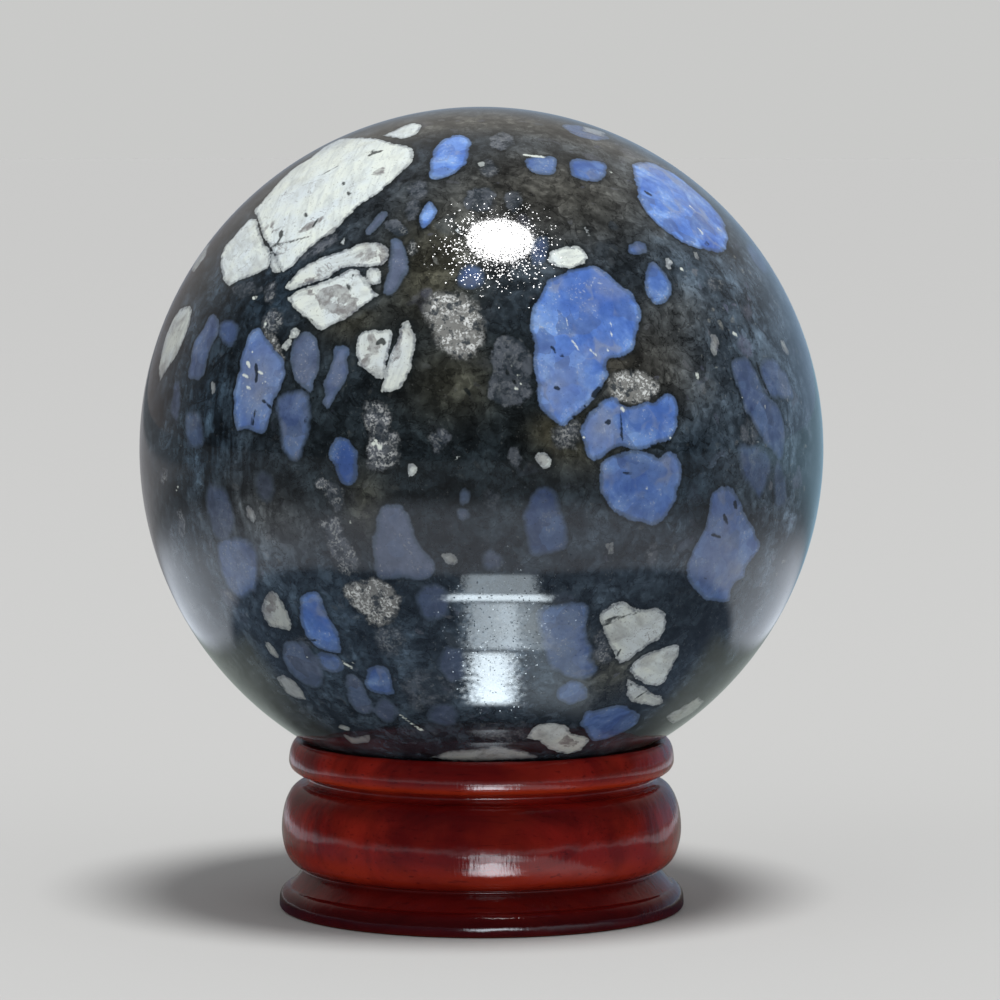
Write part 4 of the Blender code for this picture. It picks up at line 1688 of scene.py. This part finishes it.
    def blob(self, directions: np.ndarray, way: np.ndarray, wide: float, tall: float) -> np.ndarray:
        """Shades a soft round patch.

        Args:
            directions: unit vector from the ball's centre to each vertex.
            way: unit vector to the patch's middle.
            wide, tall: its half width and height, in metres.

        Returns:
            A number for each vertex, from one in the middle to nought.
        """
        side = unit(np.cross((0.0, 0.0, 1.0), way))
        rise = np.cross(way, side)
        across = directions @ side * self.radius / wide
        along = directions @ rise * self.radius / tall
        return np.exp(-(across**2 + along**2)) * (directions @ way > 0)

    def store_ground(self, mesh: bpy.types.Mesh, grains: GrainMap, camera: PhotoCamera,
                     toward: np.ndarray) -> None:
        """Writes the rock's shade, streaks and sparkle, the marks and the tones, as three attributes.

        Args:
            mesh: the ball's mesh.
            grains: the ball's grains and marks.
            camera: the camera that the patches are placed through.
            toward: unit vector to the camera.
        """
        draw = np.random.default_rng(self.seed + 1)
        directions = grains.directions
        px = self.radius / camera.ball_radius_px / 2
        zones = [(zone.rock, camera.spot(zone.centre), zone.size[0] * px, zone.size[1] * px, zone.strength)
                 for zone in ZONES]
        while len(zones) < len(ZONES) + self.hidden_zones:
            way = unit(draw.normal(size=3))
            wide = draw.uniform(*self.zone_limits_mm) * MM
            if way @ toward < 0:
                zones.append((draw.choice(list(Rock)), way, wide, wide * draw.uniform(0.6, 1.4), 1.0))
        weight = np.full(len(directions), self.base_weight)
        shade = np.outer(weight, self.finish.rock(Rock.BASE))
        for rock, way, wide, tall, strength in zones:
            share = strength * self.blob(directions, way, wide, tall)
            weight += share
            shade += np.outer(share, self.finish.rock(rock))

        def spots(patches: tuple[Patch, ...]) -> list[np.ndarray]:
            """Shades patches of the picture, each by its strength."""
            return [patch.strength * self.blob(directions, camera.spot(patch.centre), patch.size[0] * px,
                                               patch.size[1] * px) for patch in patches]

        streak = np.max(spots(STREAKS), axis=0)
        sparkle = np.maximum(np.max(spots(SPARKLES), axis=0), self.base_sparkle) * (1 - spots((CLEAR,))[0])
        ground = np.column_stack([shade / weight[:, None], streak])
        surface = np.column_stack([grains.traces[kind] for kind in Trace] + [sparkle])
        for name, values in (("ground", ground), ("surface", surface)):
            layer = mesh.attributes.new(name, "FLOAT_COLOR", "POINT")
            layer.data.foreach_set("color", values.astype(np.float32).ravel())
        layer = mesh.attributes.new("tone", "FLOAT", "POINT")
        layer.data.foreach_set("value", np.sum(spots(TONES), axis=0).astype(np.float32))


@dataclass(frozen=True)
class Band:
    """A soft band round the ring, some way above a moulding's level: worn stain in a thin band, painted
    shade in a shade band.
    """

    moulding: str
    above: float
    spread: float
    strength: float


@dataclass
class RingStand:
    """The turned ring that the ball rests in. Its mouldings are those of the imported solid."""

    seat_gap: float = 0.05 * MM
    solid_gap: float = 0.30 * MM
    seat_angle: float = math.radians(32.45)
    seat_width: float = 4.6 * MM
    bore_chamfer: float = 0.5 * MM
    lip_crown_height: float = 2.00 * MM
    lip_underside_height: float = 1.25 * MM
    groove_height: float = 0.90 * MM
    belly_upper_height: float = 4.40 * MM
    belly_lower_height: float = 3.65 * MM
    neck_height: float = 0.25 * MM
    flare_height: float = 1.50 * MM
    foot_shoulder_height: float = 1.35 * MM
    foot_side_height: float = 0.45 * MM
    foot_edge_round: float = 0.40 * MM
    lip_projection: float = 0.85 * MM
    lip_overhang: float = 1.35 * MM
    groove_depth: float = 0.55 * MM
    belly_projection: float = 2.05 * MM
    neck_depth: float = 2.05 * MM
    flare_projection: float = 1.25 * MM
    foot_shoulder_round: float = 1.05 * MM
    turns: int = 288
    edge_round: float = 0.12 * MM
    sharp: float = math.radians(32)
    hand_wander: float = 0.035 * MM
    hand_inset: float = 2.0 * MM  # how far outside the bore the hand finish begins
    hand_foot: float = 0.8 * MM
    lacquer_inset: float = 0.2 * MM
    lacquer_fade: float = 1.5 * MM
    lacquer_foot: float = 0.25 * MM
    band_inset: float = 3.2 * MM
    band_fade: float = 0.6 * MM
    thin_bands: tuple[Band, ...] = (
        Band("lip", -0.9 * MM, 0.50 * MM, 0.9),
        Band("belly", -2.4 * MM, 1.2 * MM, 0.6),
        Band("side", 1.6 * MM, 0.35 * MM, 0.15),
    )
    # Painted shade: the ring is drawn darker under the lip, round the neck and over the foot
    shade_bands: tuple[Band, ...] = (
        Band("belly", 3.5 * MM, 1.0 * MM, 0.55),
        Band("neck", -0.4 * MM, 1.0 * MM, 0.9),
        Band("side", 0.2 * MM, 1.7 * MM, 1.0),
    )
    finish: LacqueredWood = field(default_factory=LacqueredWood)
    height: float = field(default=0.0, init=False)

    def __post_init__(self) -> None:
        """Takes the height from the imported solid."""
        self.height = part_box("ring_stand")[1].z

    @staticmethod
    def arc(centre: Pixel, radii: Pixel, start: float, end: float, steps: int) -> list[Pixel]:
        """Draws part of an ellipse.

        Args:
            centre: its centre, as radius and height.
            radii: its half widths.
            start, end: angles in degrees.
            steps: number of straight pieces.

        Returns:
            The points, with both ends.
        """
        points = []
        for step in range(steps + 1):
            angle = math.radians(start + (end - start) * step / steps)
            points.append((centre[0] + radii[0] * math.cos(angle), centre[1] + radii[1] * math.sin(angle)))
        return points

    def levels(self) -> dict[str, float]:
        """Works out the heights of the mouldings from the top down.

        Returns:
            Each height by the moulding's name.
        """
        lip = self.height - self.lip_crown_height
        groove = lip - self.lip_underside_height - self.groove_height / 2
        belly = groove - self.groove_height / 2 - self.belly_upper_height
        neck = belly - self.belly_lower_height - self.neck_height
        side = neck - self.flare_height - self.foot_shoulder_height
        return {"lip": lip, "groove": groove, "belly": belly, "neck": neck, "side": side}

    def outline(self, ball: StoneBall) -> list[Pixel]:
        """Draws the ring's closed outline: down the outside, in below, up the bore and over the seat.

        Args:
            ball: the ball that the seat follows.

        Returns:
            The corners, as radius and height.
        """
        level = self.levels()
        rim = (ball.radius + self.solid_gap) * math.sin(self.seat_angle)
        lip = rim + self.lip_projection
        mouth = lip - self.lip_overhang
        belly = mouth + self.belly_projection
        neck = belly - self.neck_depth
        shoulder = neck + self.flare_projection
        side = shoulder + self.foot_shoulder_round
        bore = rim - self.seat_width
        seat = ball.radius + self.seat_gap
        ball_z = float(ball.centre[2])

        groove = (self.groove_depth, self.groove_height / 2)
        upper = (self.belly_projection, self.belly_upper_height)
        lower = (self.neck_depth, self.belly_lower_height)
        points = self.arc((rim, level["lip"]), (self.lip_projection, self.lip_crown_height), 90, 0, 12)
        points += self.arc((mouth, level["lip"]), (self.lip_overhang, self.lip_underside_height),
                           0, -90, 12)[1:]
        points += self.arc((mouth, level["groove"]), groove, 90, 270, 10)[1:]
        points += self.arc((mouth, level["belly"]), upper, 90, 0, 20)[1:]
        points += self.arc((neck, level["belly"]), lower, 0, -90, 18)[1:]
        points += [(neck, level["neck"])]
        points += self.arc((shoulder, level["side"]), (self.foot_shoulder_round, self.foot_shoulder_height),
                           90, 0, 10)
        points += self.arc((side - self.foot_edge_round, self.foot_edge_round),
                           (self.foot_edge_round, self.foot_edge_round), 0, -90, 5)
        points += [(bore + self.bore_chamfer, 0.0), (bore, self.bore_chamfer)]
        for step in range(9):
            radius = bore + (rim - bore) * step / 8
            points.append((radius, ball_z - math.sqrt(seat**2 - radius**2)))
        return points[:-1] + [(rim, min(points[-1][1], self.height))]

    def build(self, ball: StoneBall) -> bpy.types.Object:
        """Turns the ring.

        Args:
            ball: the ball that the seat follows.

        Returns:
            The finished piece.
        """
        shape = bmesh.new()
        corners = [shape.verts.new((radius, 0.0, height)) for radius, height in self.outline(ball)]
        edges = [shape.edges.new(pair) for pair in zip(corners, corners[1:] + corners[:1])]
        bmesh.ops.spin(shape, geom=corners + edges, cent=(0, 0, 0), axis=(0, 0, 1), angle=math.tau,
                       steps=self.turns, use_merge=True)
        bmesh.ops.remove_doubles(shape, verts=shape.verts[:], dist=0.001 * MM)
        bmesh.ops.recalc_face_normals(shape, faces=shape.faces[:])
        creases = [edge for edge in shape.edges if edge.is_manifold and edge.calc_face_angle() > self.sharp]
        bmesh.ops.bevel(shape, geom=creases, offset=self.edge_round, offset_type="OFFSET", segments=3,
                        profile=0.5, affect="EDGES", material=-1, clamp_overlap=True)
        mesh = bpy.data.meshes.new("lacquered_ring")
        self.hand_finish(shape)
        shape.to_mesh(mesh)
        shape.free()
        self.store_finish(mesh)
        mesh.shade_smooth()
        mesh.materials.append(self.finish.material())
        stand = bpy.data.objects.new("lacquered_ring", mesh)
        bpy.context.scene.collection.objects.link(stand)
        LOG.info("lacquered_ring: %d faces", len(mesh.polygons))
        return stand

    def hand_finish(self, shape: bmesh.types.BMesh) -> None:
        """Makes the lacquered outside slightly uneven, as sanding and brushing leave it.

        Args:
            shape: the turned ring.
        """
        shape.normal_update()
        bore = min(math.hypot(vertex.co.x, vertex.co.y) for vertex in shape.verts)
        for vertex in shape.verts:
            away = math.hypot(vertex.co.x, vertex.co.y)
            outside = self.rise(away - bore, self.hand_inset, self.hand_inset)
            share = self.hand_wander * outside * min(vertex.co.z / self.hand_foot, 1.0)
            slow = noise.noise(vertex.co * 240.0) + 0.5 * noise.noise(vertex.co * 620.0)
            vertex.co += vertex.normal * (share * slow - share)

    @staticmethod
    def rise(value: float, start: float, span: float) -> float:
        """Goes straight from nought at start to one, a span further on."""
        return min(max((value - start) / span, 0.0), 1.0)

    def store_finish(self, mesh: bpy.types.Mesh) -> None:
        """Marks where the stain is thin, where painted shade darkens it and where the lacquer ends, as
        attributes.

        Args:
            mesh: the ring's mesh.
        """
        names = ("wear", "dim", "lacquer")
        layers = {name: mesh.attributes.new(name, "FLOAT", "POINT") for name in names}
        level = self.levels()
        inner = min(math.hypot(vertex.co.x, vertex.co.y) for vertex in mesh.vertices)
        for number, vertex in enumerate(mesh.vertices):
            z = vertex.co.z
            away = math.hypot(vertex.co.x, vertex.co.y)
            outside = self.rise(away - inner, self.band_inset, self.band_fade)
            # wear is the worn stain; dim is the painted shade
            for name, bands in (("wear", self.thin_bands), ("dim", self.shade_bands)):
                layers[name].data[number].value = outside * max(
                    band.strength * math.exp(-(((z - level[band.moulding] - band.above) / band.spread) ** 2))
                    for band in bands)
            above = self.rise(z, 0.0, self.lacquer_foot)
            covered = self.rise(away - inner, self.lacquer_inset, self.lacquer_fade)
            layers["lacquer"].data[number].value = above * covered


@dataclass
class Studio:
    """The plain floor and the soft light round the object.

    The key light is where the ball mirrors it at its highlight.
    """

    floor_radius: float = 20.0
    floor_drop: float = 0.02 * MM
    highlight_px: Pixel = (500.0, 240.0)
    key_width: float = math.radians(17.5)
    key_strength: float = 2.5
    fill_distance: float = 1.3
    fill_size: float = 1.2
    fill_power: float = 2.6
    fill_left: tuple[float, float, float] = (-0.7, -0.75, 0.55)
    fill_right: tuple[float, float, float] = (0.8, -0.65, 0.5)
    fill_right_share: float = 0.8
    backdrop: Colour = (0.586, 0.588, 0.579)
    around: Colour = (0.36, 0.36, 0.37)
    room: Colour = (0.036, 0.039, 0.042)
    overhead: Colour = (0.42, 0.41, 0.39)
    left: Colour = (0.25, 0.235, 0.235)
    right: Colour = (0.33, 0.47, 0.64)

    def build(self, camera: PhotoCamera) -> None:
        """Makes the floor, the lights and the world.

        Args:
            camera: the camera whose view of the ball the lights are placed by.
        """
        self.lay_floor()
        self.hang_key(camera)
        for name, way, power in (("fill_left", self.fill_left, self.fill_power),
                                 ("fill_right", self.fill_right, self.fill_power * self.fill_right_share)):
            place = Vector(camera.centre) + Vector(way).normalized() * self.fill_distance
            fill = self.light(name, place, -Vector(way), (self.fill_size, self.fill_size), power)
            fill.visible_glossy = False
        self.surround()

    def hang_key(self, camera: PhotoCamera) -> None:
        """Makes the key light, far off, where the ball mirrors it at the highlight.

        Args:
            camera: the camera whose view of the ball the light is placed by.
        """
        data = bpy.data.lights.new("key", "SUN")
        data.angle = self.key_width
        data.energy = self.key_strength
        key = bpy.data.objects.new("key", data)
        bpy.context.scene.collection.objects.link(key)
        way = Vector(camera.mirrored(self.highlight_px)[1])
        key.location = way
        key.rotation_mode = "QUATERNION"
        key.rotation_quaternion = (-way).to_track_quat("-Z", "Y")

    def lay_floor(self) -> None:
        """Lays a plain floor just below the stand."""
        shape = bmesh.new()
        bmesh.ops.create_circle(shape, cap_ends=True, segments=96, radius=self.floor_radius)
        bmesh.ops.translate(shape, verts=shape.verts[:], vec=(0.0, 0.0, -self.floor_drop))
        mesh = bpy.data.meshes.new("floor")
        shape.to_mesh(mesh)
        shape.free()
        mesh.materials.append(PaleFloor().material())
        floor = bpy.data.objects.new("floor", mesh)
        bpy.context.scene.collection.objects.link(floor)

    def light(self, name: str, place: Vector, way: Vector, size: tuple[float, float],
              power: float) -> bpy.types.Object:
        """Makes a soft rectangular light.

        Args:
            name: the light's name.
            place: where it is.
            way: the direction that it shines in.
            size: its width and height.
            power: watts.

        Returns:
            The light.
        """
        data = bpy.data.lights.new(name, "AREA")
        data.shape = "RECTANGLE"
        data.size, data.size_y = size
        data.energy = power
        lamp = bpy.data.objects.new(name, data)
        bpy.context.scene.collection.objects.link(lamp)
        lamp.location = place
        lamp.rotation_mode = "QUATERNION"
        lamp.rotation_quaternion = way.to_track_quat("-Z", "Y")
        return lamp

    def surround(self) -> None:
        """Makes the world: pale to the camera, even for light, and dim in front for reflections alone."""
        world = bpy.data.worlds.new("studio")
        bpy.context.scene.world = world
        world.use_nodes = True
        sketch = Sketch(world.node_tree)
        way = sketch.add("TexCoord").outputs["Generated"]
        axes = sketch.add("SeparateXYZ", {"Vector": way}).outputs
        path = sketch.add("LightPath").outputs
        sides = sketch.mix(sketch.fade(axes["X"], -0.4, 0.4), self.left, self.right)
        behind = sketch.mix(sketch.fade(axes["Z"], 0.05, 0.55), sides, self.overhead)
        gloss = sketch.mix(sketch.fade(axes["Y"], 0.10, 0.85), self.room, behind)
        colour = sketch.mix(path["Is Glossy Ray"], self.around, gloss)
        colour = sketch.mix(path["Is Camera Ray"], colour, self.backdrop)
        sketch.feed(world.node_tree.nodes["Background"].inputs["Color"], colour)


def main() -> None:
    """Builds the ball, the stand and the studio, and fixes them to the frame."""
    logging.basicConfig(level=logging.INFO, format="%(name)s: %(message)s")
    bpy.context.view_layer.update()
    ball = StoneBall()
    camera = PhotoCamera()
    camera.aim(ball.centre, ball.radius)
    camera.build()

    polished = ball.build(camera)
    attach(polished, "root")
    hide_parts("stone_ball")

    ring = RingStand().build(ball)
    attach(ring, "root")
    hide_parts("ring_stand")

    Studio().build(camera)
    bpy.context.scene.view_settings.view_transform = "Standard"


if __name__ == "__main__":
    main()
